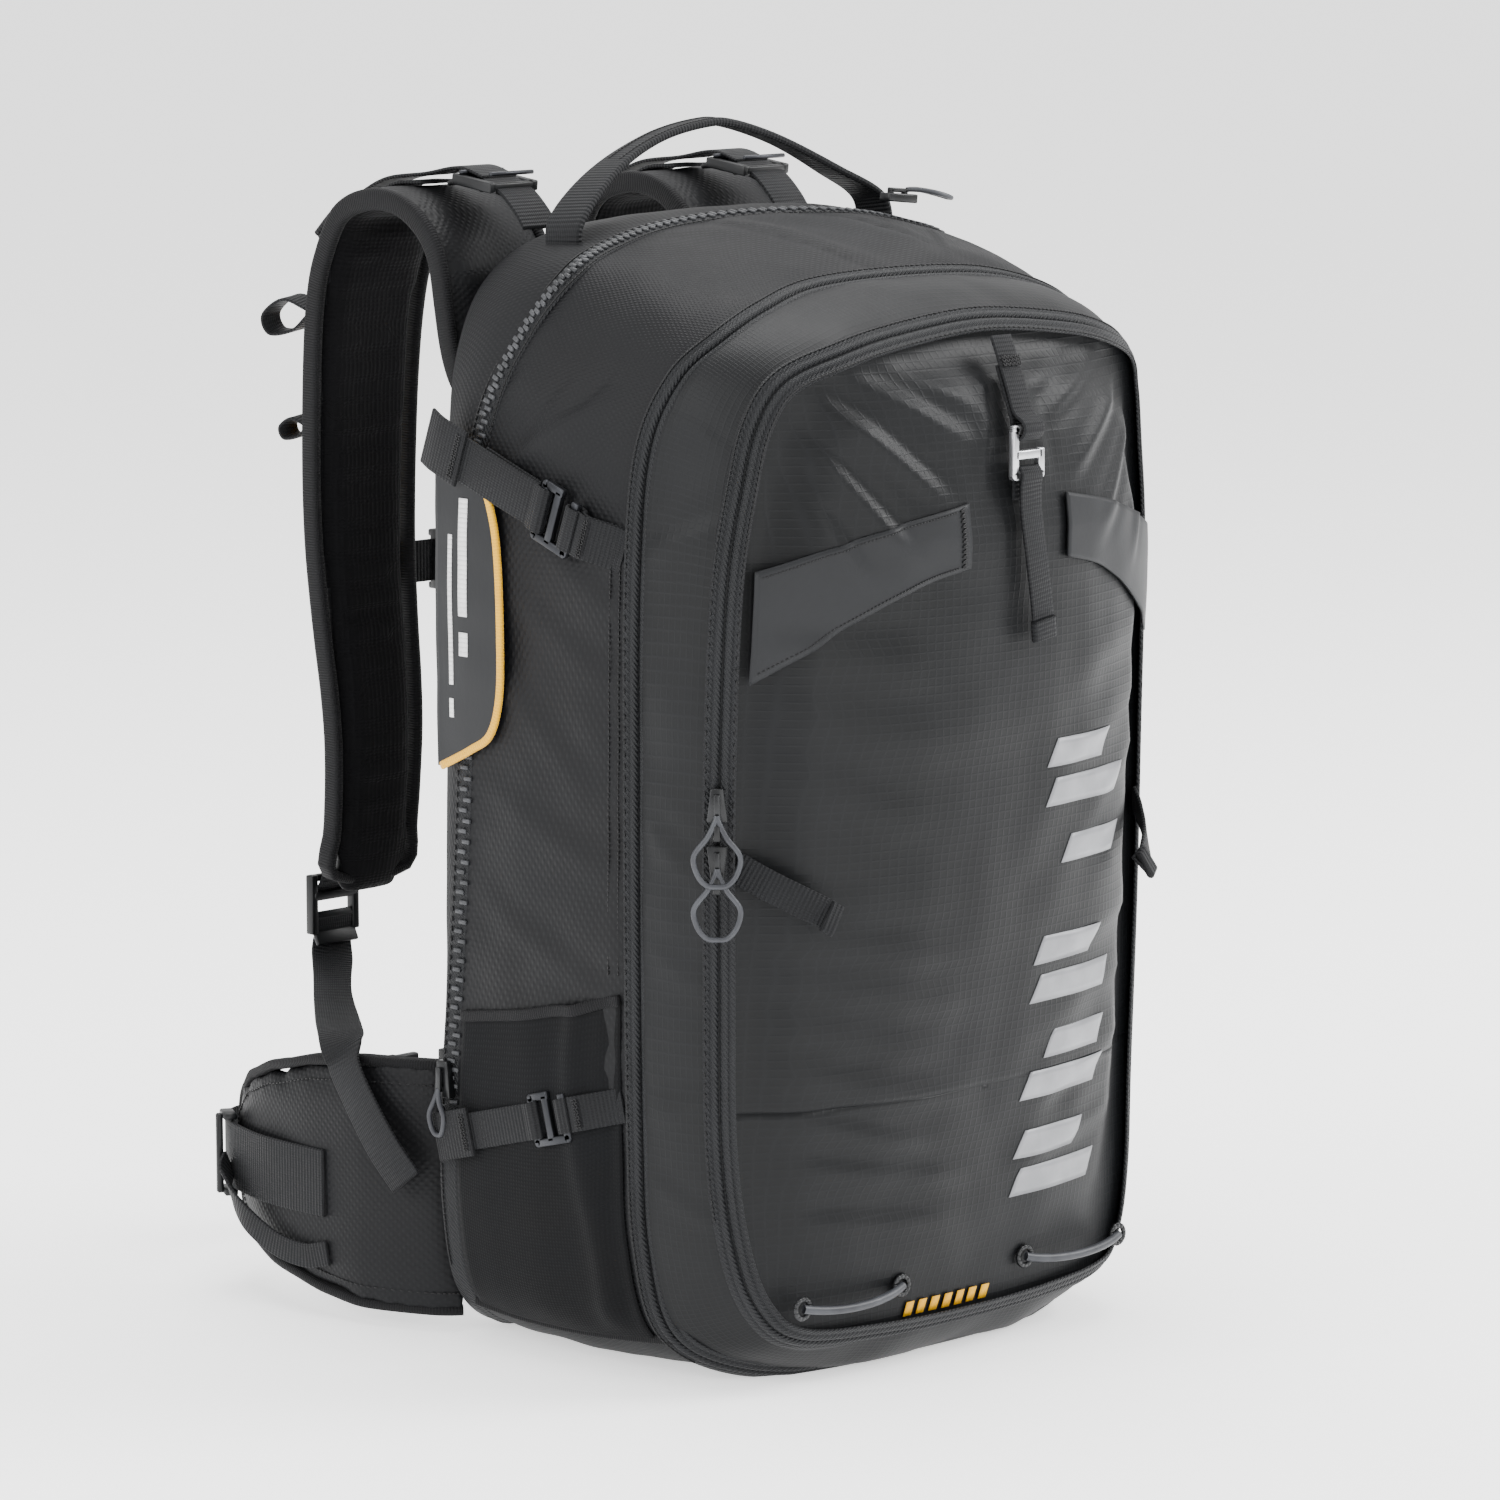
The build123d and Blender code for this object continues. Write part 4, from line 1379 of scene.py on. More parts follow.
def bar_tack(
    name: str, at: Vector, along: Vector, across: Vector, width: float, rows: int, finish: bpy.types.Material,
    gap: float = 1.6,
) -> bpy.types.Object:
    """Block of dense zigzag stitches that holds a strap down.

    Args:
        name: Piece name.
        at: Middle of the block, on the strap's face.
        along: The strap's direction.
        across: Width direction.
        width: Width of the block.
        rows: Number of zigzag rows.
        finish: Thread.
        gap: Distance between rows.

    Returns:
        The stitches.
    """
    places = []
    a, c = along.normalized(), across.normalized()
    count = int(width / 1.1)
    for r in range(rows):
        for k in range(count):
            x = (k + 0.5) / count - 0.5
            lean = a * (0.8 if k % 2 else -0.8)
            spot = at + a * ((r - (rows - 1) / 2) * gap) + c * (x * width)
            places.append(placed(spot, a + lean * 0.3 + c * (0.5 if k % 2 else -0.5), c, (1.5, 0.5, 0.5)))
    return blocks(name, places, finish)


@dataclass
class PrintedBars:
    """Generic printed mark: slanted bars laid on a surface."""

    name: str
    bars: Sequence[tuple[float, float, float, float, float]]

    def build(
        self, surface: Callable[[float, float], Vector], finish: bpy.types.Material, lift: float = 0.35
    ) -> bpy.types.Object:
        """Lay each bar on the surface as a fine grid.

        Args:
            surface: Surface point for two coordinates.
            finish: Print.
            lift: Height above the surface, along -Y.

        Returns:
            The bars.
        """
        bm = bmesh.new()
        uv = bm.loops.layers.uv.new("weave")
        for x0, z0, x1, z1, slant in self.bars:
            cells_x = max(2, int(abs(x1 - x0) / 2.5))
            cells_z = max(2, int(abs(z1 - z0) / 2.5))
            made = bmesh.ops.create_grid(bm, x_segments=cells_x, y_segments=cells_z, size=0.5)
            for vert in made["verts"]:
                u, v = vert.co.x + 0.5, vert.co.y + 0.5
                p = surface(x0 + (x1 - x0) * u + slant * (v - 0.5), z0 + (z1 - z0) * v)
                vert.co = p + Vector((0, -lift, 0))
        for face in bm.faces:
            for loop in face.loops:
                loop[uv].uv = (loop.vert.co.x * MM, loop.vert.co.z * MM)
        score = sum(f.normal.y * f.calc_area() for f in bm.faces)
        if score > 0:
            bmesh.ops.reverse_faces(bm, faces=bm.faces)
        piece = finish_mesh(bm, self.name, finish)
        thicken(piece, 0.3)
        return piece


@dataclass
class GearHook:
    """Cast aluminium hook: a webbing slot behind and an open-sided mouth in front.

    x runs from the webbing bar to the nose, y across.
    """

    name: str
    width: float
    reach: float = 19.0
    bar: float = 4.0
    rim: float = 3.5
    plate: float = 3.2

    def build(self, frame_at: Matrix, finish: bpy.types.Material) -> bpy.types.Object:
        """Make the hook.

        Args:
            frame_at: Place of the hook's own axes, in millimetres.
            finish: Metal.

        Returns:
            The hook.
        """
        bm = bmesh.new()
        half = self.width / 2 + self.rim
        b = self.bar / 2
        thick = self.plate
        bars = [
            # rear bar with the webbing, both rims, the cross bar, the nose
            ((0.0, 0.0), (self.bar, 2 * half - 3)),
            ((self.reach / 2, -half + self.rim / 2), (self.reach, self.rim)),
            ((5.4, half - self.rim / 2), (10.8, self.rim)),
            ((b + 4.6 + 1.9, 0.0), (3.8, 2 * half - 3)),
            ((self.reach, -0.6), (self.bar, 2 * half - 3)),
        ]
        for (x, y), (sx, sy) in bars:
            add_box(bm, (x, y, 0), (sx, sy, thick))
        # rounded corners where the bars meet
        for x, y in ((0, -half + 1.9), (0, half - 1.9), (self.reach, -half + 1.9)):
            bmesh.ops.create_cone(
                bm, cap_ends=True, segments=14, radius1=self.bar / 2, radius2=self.bar / 2, depth=thick,
                matrix=Matrix.Translation((x, y, 0)),
            )
        bmesh.ops.recalc_face_normals(bm, faces=bm.faces)
        round_edges(bm, 0.55, 2)
        bmesh.ops.transform(bm, matrix=frame_at, verts=bm.verts)
        bmesh.ops.recalc_face_normals(bm, faces=bm.faces)
        return finish_mesh(bm, self.name, finish)


def own_axes(at: Vector, x: Vector, y: Vector) -> Matrix:
    """Matrix of a right-handed frame.

    Args:
        at: Origin.
        x: First axis.
        y: Rough second axis.

    Returns:
        The matrix.
    """
    a = x.normalized()
    c = a.cross(y).normalized()
    b = c.cross(a)
    return Matrix.Translation(at) @ Matrix((a, b, c)).transposed().to_4x4()


@dataclass
class SideStraps:
    """Compression straps of one flank: webbing from the back edge, hook, and the catch loop at the main zip."""

    side: Side
    finishes: Finishes
    plane: float = 142.6
    reach: float = 19.0

    def axes(self, y: float, z: float, slope: float) -> tuple[Vector, Vector, Vector, Vector]:
        """Hook's place and its directions.

        Args:
            y: Depth of the webbing bar.
            z: Height of the webbing bar.
            slope: Degrees below level towards the front.

        Returns:
            Origin, forward, up across and outward directions.
        """
        a = math.radians(slope)
        forward = Vector((0, -math.cos(a), -math.sin(a)))
        up = Vector((0, -math.sin(a), math.cos(a)))
        return Vector((self.side.value * self.plane, y, z)), forward, up, Vector((self.side.value, 0, 0))

    def build_one(
        self, level: str, y: float, z: float, slope: float, width: float, run: float, catch: float
    ) -> None:
        """Make one strap with its hook.

        Args:
            level: upper or lower.
            y: Depth of the bar.
            z: Height of the bar.
            slope: Degrees.
            width: Webbing width.
            run: Strap length behind the bar.
            catch: Distance from the bar to the catch loop's seam.
        """
        f, word = self.finishes, self.side.word
        at, fwd, up, out = self.axes(y, z, slope)
        tail = at - fwd * run
        # long run: from the folded tab at the back edge to the bar, doubled for its front third
        knots = [
            tail + out * 0.4, tail + fwd * run * 0.3 + out * 1.2,
            tail + fwd * run * 0.7 + out * 0.9, at - fwd * 3.4
        ]
        strap = Strap(f"{level}_strap_{word}", knots, [up] * 4, width, 1.7).build(f.webbing)
        settle(strap, "pack", "webbing", *(("side_straps_" + word,) if level == "upper" else ()))
        under = [
            tail + fwd * run * 0.42 - out * 1.4, tail + fwd * run * 0.7 - out * 1.3,
            at - fwd * 5.0 - out * 1.6
        ]
        settle(
            Strap(f"{level}_strap_return_{word}", under, [up] * 3, width, 1.5, 24).build(f.webbing), "pack",
            "webbing"
        )
        settle(self.wrap(f"{level}_strap_loop_{word}", at, fwd, up, out, 2.9, width), "pack", "webbing")
        # wide sewn tab at the back edge
        tab = [tail - fwd * 5 + out * 0.3, tail + fwd * 4 + out * 2.4, tail + fwd * 20 + out * 2.7]
        settle(
            Strap(f"{level}_strap_tab_{word}", tab, [up] * 3, width + 5, 1.6, 20).build(f.webbing), "pack",
            "webbing"
        )
        tack = bar_tack(
            f"{level}_strap_tack_{word}", tail + fwd * 16 + out * 3.6, fwd, up, width, 2, f.thread
        )
        settle(tack, "pack", "webbing")
        # catch loop: round the nose and to the main zip
        nose = at + fwd * self.reach
        settle(self.wrap(f"{level}_catch_bight_{word}", nose, -fwd, up, out, 3.6, width - 1), "pack", "webbing",
               *(("catch_loops_" + word,) if level == "upper" else ()))
        seam = at + fwd * (catch + 2)
        sew = Vector((self.side.value * 134.2, seam.y, seam.z))
        for part, lift in (("outer", 1.9), ("inner", 0.2)):
            knots = [
                nose + fwd * 3.2 + out * (1.6 if part == "outer" else -1.6),
                nose + fwd * 9 + out * (lift - 0.4), sew - fwd * 6 + out * (lift + 0.6),
                sew + out * (lift - 0.8)
            ]
            settle(
                Strap(
                    f"{level}_catch_{part}_{word}", knots, [up] * 4, width - 1, 1.5, 26
                ).build(f.webbing), "pack", "webbing"
            )
        settle(
            bar_tack(
                f"{level}_catch_tack_{word}", nose + fwd * 9.5 + out * 2.4, fwd, up, width - 3, 2, f.thread
            ),
            "pack", "webbing",
        )
        hook = GearHook(f"{level}_gear_hook_{word}", width)
        body = f"{level}_hook_{word}"
        settle(
            hook.build(own_axes(at, fwd, up), f.dark_metal), body,
            "dark_metal", body
        )

    def wrap(
        self, name: str, at: Vector, fwd: Vector, up: Vector, out: Vector, radius: float, width: float
    ) -> bpy.types.Object:
        """Webbing bent round a bar, as a half turn open to the back.

        Args:
            name: Piece name.
            at: Bar centre.
            fwd: Direction from the strap towards the bar.
            up: Width direction.
            out: Outward direction.
            radius: Radius of the webbing's middle.
            width: Webbing width.

        Returns:
            The wrap.
        """
        knots = []
        for deg in range(-100, 101, 25):
            a = math.radians(deg)
            knots.append(at + fwd * (radius * math.cos(a)) + out * (radius * math.sin(a)))
        knots = [at - fwd * 4.5 - out * radius * 0.7] + knots + [at - fwd * 4.5 + out * radius * 0.7]
        return Strap(name, knots, [up] * len(knots), width, 1.5, 40).build(self.finishes.webbing)

    def build(self) -> None:
        """Make both straps of the flank."""
        self.build_one("upper", 14.0, 367.5, 20.0, 20.0, 70.0, 43.0)
        self.build_one("lower", 20.0, 107.0, -15.0, 16.0, 60.0, 46.0)


@dataclass
class BurstFlap:
    """Laminate flap with yellow piping over the burst zip, on the wearer's left."""

    finishes: Finishes
    edge: Sequence[tuple[float, float]] = (
        (80, 394), (66, 389), (52, 377), (44, 361), (40.5, 342), (39.5, 312), (40.5, 286), (47, 269),
        (60, 261), (80, 252)
    )

    def point(self, y: float, z: float) -> Vector:
        """Place on the flap, standing off the flank and bowed outward.

        Args:
            y: Depth.
            z: Height.

        Returns:
            The point.
        """
        bow = 3.2 * math.sin(math.pi * min(1, max(0, (z - 250) / 145))) * smooth(92, 60, y)
        return Vector(
            (
                -139.6 - 1.6 * smooth(90, 50, y) - bow * 0.6 - 0.4 * noise.noise(Vector((0, y, z)) * 0.05),
                y, z
            )
        )

    def build(self) -> None:
        """Make the flap, its piping, stitching and printed mark."""
        f = self.finishes
        rim = [Vector((0, y, z)) for y, z in self.edge]

        def place(u: float, v: float) -> Vector:
            """Point of the sheet for its two shares."""
            front = through(rim, u)
            y = front.y + (82.0 - front.y) * v
            return self.point(y, front.z)

        flap = grid_sheet("burst_flap_laminate", (60, 20), place, f.patch, (150, 50), outward=HEART)
        thicken(flap, 1.3)
        settle(flap, "pack", "shell_fabric", "burst_flap")
        knots = [self.point(p.y, p.z) + Vector((-0.6, 0, 0)) for p in rim]
        line = rail(knots, [Vector((1, 0, 0))] * len(knots), 80)
        pipe = swept("burst_flap_piping", line, outline_box(2.4, 3.6, 1.0, 3), f.yellow)
        settle(pipe, "pack", "accent")
        places = []
        for k in range(46):
            p = through(rim, 0.03 + 0.94 * k / 46)
            q = through(rim, 0.03 + 0.94 * (k + 0.6) / 46)
            inset = Vector((0, 4.5, 0))
            a, b = self.point(p.y + inset.y, p.z), self.point(q.y + inset.y, q.z)
            places.append(placed(a + Vector((-0.5, 0, 0)), b - a, Vector((0, 0, 1)), (2.0, 0.45, 0.4)))
        settle(blocks("burst_flap_stitching", places, f.thread), "pack", "shell_fabric")
        # plain printed bars in place of words
        bars = []
        for top, low, y, wide in (
            (368, 318, 62, 5.2), (311, 301, 62, 5.2), (352, 288, 71, 2.4), (282, 274, 71, 2.4)
        ):
            for k in range(int((top - low) / 2)):
                a, b = self.point(y, top - 2 * k), self.point(y, top - 2 * k - 2)
                bars.append(
                    placed((a + b) / 2 + Vector((-1.5, 0, 0)), b - a, Vector((0, 1, 0)), (2.1, wide, 0.5))
                )
        settle(blocks("burst_flap_printed_bars", bars, f.white_print), "pack", "shell_fabric")


@dataclass
class ZipSlider:
    """Die-cast slider with a bail that carries the cord pull."""

    name: str
    size: tuple[float, float, float] = (14.0, 8.6, 3.2)

    def build(self, frame_at: Matrix, finish: bpy.types.Material) -> bpy.types.Object:
        """Make the slider.

        Args:
            frame_at: Axes: x along the zip, y across, z out of the cloth.
            finish: Metal.

        Returns:
            The slider.
        """
        bm = bmesh.new()
        length, width, high = self.size
        add_box(bm, (0, 0, 0), (length, width, high))
        ends = [v for v in bm.verts if v.co.x < 0]
        bmesh.ops.scale(bm, vec=(1, 0.62, 0.9), verts=ends)
        add_box(bm, (0, 0, high / 2 + 1.3), (length * 0.68, 2.6, 2.0))
        for end in (-1, 1):
            add_box(bm, (end * length * 0.27, 0, high / 2 + 0.5), (2.2, 2.6, 2.4))
        round_edges(bm, 0.5, 2)
        bmesh.ops.transform(bm, matrix=frame_at, verts=bm.verts)
        bmesh.ops.recalc_face_normals(bm, faces=bm.faces)
        return finish_mesh(bm, self.name, finish)


@dataclass
class CordPull:
    """Closed loop of sheathed cord through a slider's bail, pear-shaped."""

    name: str
    width: float = 19.0
    length: float = 29.0
    radius: float = 1.15

    def build(
        self, top: Vector, down: Vector, across: Vector, out: Vector, finish: bpy.types.Material
    ) -> bpy.types.Object:
        """Make the loop.

        Args:
            top: Where it goes through the bail.
            down: Hanging direction.
            across: Width direction.
            out: Direction away from the cloth.
            finish: Cord.

        Returns:
            The loop.
        """
        w, n = self.width / 2, self.length
        half = [
            (0.0, 0.0, 0.0), (0.10, 0.10, 0.4), (0.42, 0.30, 0.9), (1.0, 0.56, 1.0), (0.86, 0.82, 0.8),
            (0.45, 0.98, 0.5)
        ]
        shape = [(x, d, o) for x, d, o in half] + [(0.0, 1.0, 0.5)] + [
            (-x, d, o) for x, d, o in half[:0:-1]
        ]
        knots = [top + across * (x * w) + down * (d * n) + out * (o * 1.3) for x, d, o in shape]
        knots.append(knots[0].copy())
        line = rail(knots, [out] * len(knots), 72)
        return swept(self.name, line, outline_round(self.radius, 8), finish, caps=False)


# ------------------------------------------------------------------ padded pieces


def chart(piece: bpy.types.Object, lay: Callable[[Vector], tuple[float, float]]) -> None:
    """Give a piece its weave map from its vertices' places.

    Args:
        piece: The piece.
        lay: Map position in metres for a vertex in millimetres.
    """
    data = piece.data
    layer = data.uv_layers.get("weave") or data.uv_layers.new(name="weave")
    at = [lay(v.co / MM) for v in data.vertices]
    for loop in data.loops:
        layer.data[loop.index].uv = at[loop.vertex_index]


@dataclass
class Padding:
    """How a pad is filled: its remesh size and how far the cloth may swell."""

    voxel: float = 4.5
    swell: float = 2.2
    frames: int = 14
    pressure: float = 4.0

    def remesh(self, piece: bpy.types.Object) -> None:
        """Rebuild the mesh in even quads.

        Args:
            piece: The pad.
        """
        mod = piece.modifiers.new("even", "REMESH")
        mod.mode = "VOXEL"
        mod.voxel_size = self.voxel * MM
        mod.use_smooth_shade = True
        graph = bpy.context.evaluated_depsgraph_get()
        fresh = bpy.data.meshes.new_from_object(piece.evaluated_get(graph))
        piece.modifiers.clear()
        piece.data = fresh

    def inflate(self, piece: bpy.types.Object) -> None:
        """Swell the pad with a cloth simulation and keep the result.

        Args:
            piece: The pad.
        """
        before = [v.co.copy() for v in piece.data.vertices]
        mod = piece.modifiers.new("swell", "CLOTH")
        mod.settings.quality = 4
        mod.settings.mass = 0.15
        mod.settings.tension_stiffness = 10
        mod.settings.compression_stiffness = 10
        mod.settings.shear_stiffness = 5
        mod.settings.bending_stiffness = 0.4
        mod.settings.use_pressure = True
        mod.settings.uniform_pressure_force = self.pressure
        mod.settings.effector_weights.gravity = 0.0
        mod.collision_settings.use_collision = False
        mod.point_cache.frame_start = 1
        mod.point_cache.frame_end = self.frames
        scene = bpy.context.scene
        for frame_number in range(1, self.frames + 1):
            scene.frame_set(frame_number)
        graph = bpy.context.evaluated_depsgraph_get()
        after = [v.co.copy() for v in piece.evaluated_get(graph).to_mesh().vertices]
        piece.modifiers.clear()
        scene.frame_set(1)
        cap = self.swell * MM
        for vert, old, new in zip(piece.data.vertices, before, after):
            step = new - old
            vert.co = old + (step.normalized() * cap if step.length > cap else step)

    def fill(self, piece: bpy.types.Object, finish: bpy.types.Material) -> None:
        """Remesh and swell a pad.

        Args:
            piece: The pad.
            finish: Its cloth.
        """
        self.remesh(piece)
        self.inflate(piece)
        bm = bmesh.new()
        bm.from_mesh(piece.data)
        bmesh.ops.smooth_vert(
            bm, verts=bm.verts, factor=0.5, use_axis_x=True, use_axis_y=True, use_axis_z=True
        )
        bm.to_mesh(piece.data)
        bm.free()
        piece.data.materials.clear()
        piece.data.materials.append(finish)
        for face in piece.data.polygons:
            face.use_smooth = True


def mirrored(piece: bpy.types.Object, name: str) -> bpy.types.Object:
    """Mirror image of a piece across the middle plane.

    Args:
        piece: The piece on the wearer's left.
        name: Name of the new piece.

    Returns:
        The piece on the wearer's right.
    """
    bm = bmesh.new()
    bm.from_mesh(piece.data)
    bmesh.ops.scale(bm, vec=(-1, 1, 1), verts=bm.verts)
    bmesh.ops.reverse_faces(bm, faces=bm.faces)
    data = bpy.data.meshes.new(name)
    bm.to_mesh(data)
    bm.free()
    for finish in piece.data.materials:
        data.materials.append(finish)
    other = bpy.data.objects.new(name, data)
    bpy.context.scene.collection.objects.link(other)
    for mod in piece.modifiers:
        if mod.type == "SUBSURF":
            soften(other, mod.levels)
        if mod.type == "SOLIDIFY":
            wall = other.modifiers.new("wall", "SOLIDIFY")
            wall.thickness, wall.offset, wall.material_offset = mod.thickness, mod.offset, mod.material_offset
    return other


@dataclass
class ShoulderStraps:
    """Padded shoulder straps: pads, binding, mesh face, webbing, locks and gear loops."""

    finishes: Finishes
    x: float = 76.0
    thick: float = 9.0
    line: Sequence[tuple[float, float]] = (
        (99, 404), (108, 416), (113.5, 434), (119, 463), (130, 478), (146, 486), (164, 486.5), (181, 480),
        (191, 465), (197.5, 446),
        (201, 415), (203, 370), (203.4, 330), (202, 292), (200.6, 252), (203.5, 212), (209.0, 172),
    )

    def stations(self, steps: int = 90) -> list[Station]:
        """Stations along the pad's middle, with its slight curve across.

        Args:
            steps: Number of stations less one.

        Returns:
            The stations.
        """
        knots = []
        for k, (y, z) in enumerate(self.line):
            drift = -2.5 * math.sin(math.pi * smooth(7, 15, k)) + 3.0 * smooth(12, 15, k)
            knots.append(Vector((-self.x + drift, y, z)))
        return rail(knots, [Vector((1, 0, 0))] * len(knots), steps)

    def width(self, t: float) -> float:
        """Width for a share of the length, narrowing to a round lower end.

        Args:
            t: Share of the length.

        Returns:
            Width in millimetres.
        """
        body = 61.0 - 4.0 * smooth(0.3, 0.55, t) - 12.0 * smooth(0.5, 1.0, t)
        tip = 1.0 if t < 0.955 else math.sqrt(max(0.0, 1 - ((t - 0.955) / 0.052) ** 2))
        return body * (0.25 + 0.75 * tip)

    def pad(self) -> bpy.types.Object:
        """Make the left pad, in mesh cloth inside and nylon outside."""
        f = self.finishes
        line = self.stations()

        def shape(t: float, a: float, h: float) -> tuple[float, float]:
            """Scale a profile point to the width there."""
            return a * self.width(t) / 60.0, h

        piece = swept(
            "shoulder_pad_cloth_left", line, outline_box(60, self.thick, 4.0, 3), f.side, shape=shape
        )
        Padding().fill(piece, f.side)
        piece.data.materials.append(f.mesh)
        self.dress(piece, line)
        soften(piece)
        return piece

    def nearest(self, p: Vector, line: Sequence[Station]) -> Station:
        """Station nearest to a point."""
        return min(line, key=lambda s: (s.at - p).length_squared)

    def dress(self, piece: bpy.types.Object, line: Sequence[Station]) -> None:
        """Press the bound edge and the sewn ribs in, split the two cloths, and lay the weave map.

        Args:
            piece: The pad.
            line: Its stations.
        """
        near = [self.nearest(v.co / MM, line) for v in piece.data.vertices]
        maps = []
        for vert, s in zip(piece.data.vertices, near):
            p = vert.co / MM - s.at
            a, h = p.dot(s.across), p.dot(s.up)
            t = s.run / line[-1].run
            half = self.width(t) / 2
            inset = half - abs(a)
            groove = 0.9 * math.exp(-((inset - 6.0) / 1.6) ** 2)
            rib = 0.55 * math.sin(s.run * 2 * math.pi / 13.0) * smooth(7, 13, inset) if h > 0 else 0.0
            drape = 1.3 * noise.noise(Vector((a * 0.03, s.run * 0.05, 3.0))) * (1 - smooth(0.2, 0.45, t))
            sign = 1 if h > 0 else -1
            vert.co += s.up * ((-groove * sign + rib + drape) * MM)
            maps.append((a * MM, s.run * MM))
        layer = piece.data.uv_layers.new(name="weave")
        for loop in piece.data.loops:
            layer.data[loop.index].uv = maps[loop.vertex_index]
        for face in piece.data.polygons:
            s = near[face.vertices[0]]
            if face.normal.dot(s.up) > 0.2:
                face.material_index = 1

    def edge_line(self, stations: Sequence[Station]) -> list[Vector]:
        """Knots round the pad's rim, down one edge, round the tip and up the other.

        Args:
            stations: Stations along the pad.

        Returns:
            Knots of the rim.
        """
        down, up = [], []
        last = stations[-1].run
        for s in stations[2::4]:
            half = self.width(s.run / last) / 2 - 0.3
            down.append(s.at + s.across * -half)
            up.append(s.at + s.across * half)
        return down + up[::-1]

    def binding(self) -> bpy.types.Object:
        """Tape bound round the left pad's rim."""
        line = self.stations(120)
        knots = self.edge_line(line)
        outs = []
        for p in knots:
            outs.append(self.nearest(p, line).up)
        stations = rail(knots, outs, 220)
        return swept(
            "shoulder_pad_binding_left", stations, outline_box(9.6, 4.6, 1.9, 2), self.finishes.binding
        )

    def gear_loop(self, name: str, z: float, y: float, size: float, drop: float) -> bpy.types.Object:
        """Flat webbing loop sewn to the strap's outer face.

        Args:
            name: Piece name.
            z: Height of the sewn end.
            y: Depth of the sewn end.
            size: How far the loop stands out.
            drop: How far its end hangs.

        Returns:
            The loop.
        """
        x = -self.x - 26
        pts = [
            (0, 0, 0), (-0.3, 0.55, 0.30), (-0.55, 1.0, 0.1), (-0.4, 0.9, -0.25), (-0.1, 0.4, -0.3),
            (0, 0, -0.1)
        ]
        knots = [Vector((x + a * size * 0.4, y + b * size, z + c * size - drop * b)) for a, b, c in pts]
        return Strap(
            name, knots, [Vector((1, 0, 0.15))] * len(knots), 11.0, 1.3, 40
        ).build(self.finishes.webbing)

    def both(self, piece: bpy.types.Object, body: str, slot: str, *nodes: str) -> None:
        """Settle a left piece and its mirror image.

        Args:
            piece: Left piece, whose name ends in _left.
            body: Body name less its side.
            slot: Not used.
            nodes: CAD nodes less their sides.
        """
        other = mirrored(piece, piece.name.replace("_left", "_right"))
        settle(piece, body + "_left", slot, *(n + "_left" for n in nodes))
        settle(other, body + "_right", slot, *(n + "_right" for n in nodes))

    def build(self) -> None:
        """Make both shoulder straps."""
        f = self.finishes
        pad = self.pad()
        self.both(pad, "strap", "pad_foam", "shoulder_pad")
        self.both(self.binding(), "strap", "webbing")
        line = self.stations()
        # webbing sewn down the outer face, from the arch to the lower lock
        outer = [s.at - s.up * 6.6 for s in line[30:85:6]] + [
            Vector((-self.x, 222, 181)), Vector((-self.x, 227.5, 172))
        ]
        self.both(
            Strap(
                "strap_spine_webbing_left", outer, [Vector((1, 0, 0))] * len(outer), 20, 1.6, 80
            ).build(f.webbing),
            "strap", "webbing"
        )
        tail = [
            Vector((-self.x, y, z)) for y,
            z in ((112, 497.5), (128, 501), (150, 497.5), (176, 494), (196, 485), (212, 474), (221, 466))
        ]
        self.both(
            Strap("lifter_tail_left", tail, [Vector((1, 0, 0))] * len(tail), 19, 1.6, 60).build(f.webbing),
            "strap", "webbing"
        )
        hem = [Vector((-self.x, y, z)) for y, z in ((209, 479.5), (216, 473.5), (222.5, 467.5))]
        self.both(
            Strap("lifter_tail_hem_left", hem, [Vector((1, 0, 0))] * 3, 20, 3.0, 12).build(f.webbing),
            "strap", "webbing"
        )
        self.both(self.gear_loop("gear_loop_high_left", 437, 204, 24, 6), "strap", "webbing")
        self.both(self.gear_loop("gear_loop_low_left", 386, 206, 14, 3), "strap", "webbing")
        self.sternum()
        self.build_locks()
        self.build_webs()

    def ladder(
        self, name: str, at: Vector, along: Vector, across: Vector, length: float
    ) -> bpy.types.Object:
        """Moulded ladder lock: side rails, ribbed cross bars and a lifted lip.

        Args:
            name: Piece name.
            at: Middle.
            along: Webbing direction.
            across: Width direction.
            length: Length along the webbing.

        Returns:
            The lock.
        """
        bm = bmesh.new()
        width = 28.0

        for side in (-1, 1):
            add_box(bm, (0, side * (width / 2 - 1.9), 0.4), (length, 3.8, 4.6))
        for x, sx, lift, tilt in (
            (-length / 2 + 1.6, 3.2, 0, 0), (-length * 0.14, 4.0, 1.6, 0.35),
            (length * 0.2, 3.6, 0.6, -0.3), (length / 2 - 1.6, 3.2, 0, 0)
        ):
            add_box(bm, (x, 0, lift), (sx, width - 3, 3.0), tilt)
        add_box(bm, (length / 2 + 2.0, 0, 2.2), (6.5, width - 4, 2.2), -0.45)
        round_edges(bm, 0.7, 2)
        bmesh.ops.transform(bm, matrix=own_axes(at, along, across), verts=bm.verts)
        bmesh.ops.recalc_face_normals(bm, faces=bm.faces)
        return finish_mesh(bm, name, self.finishes.acetal)

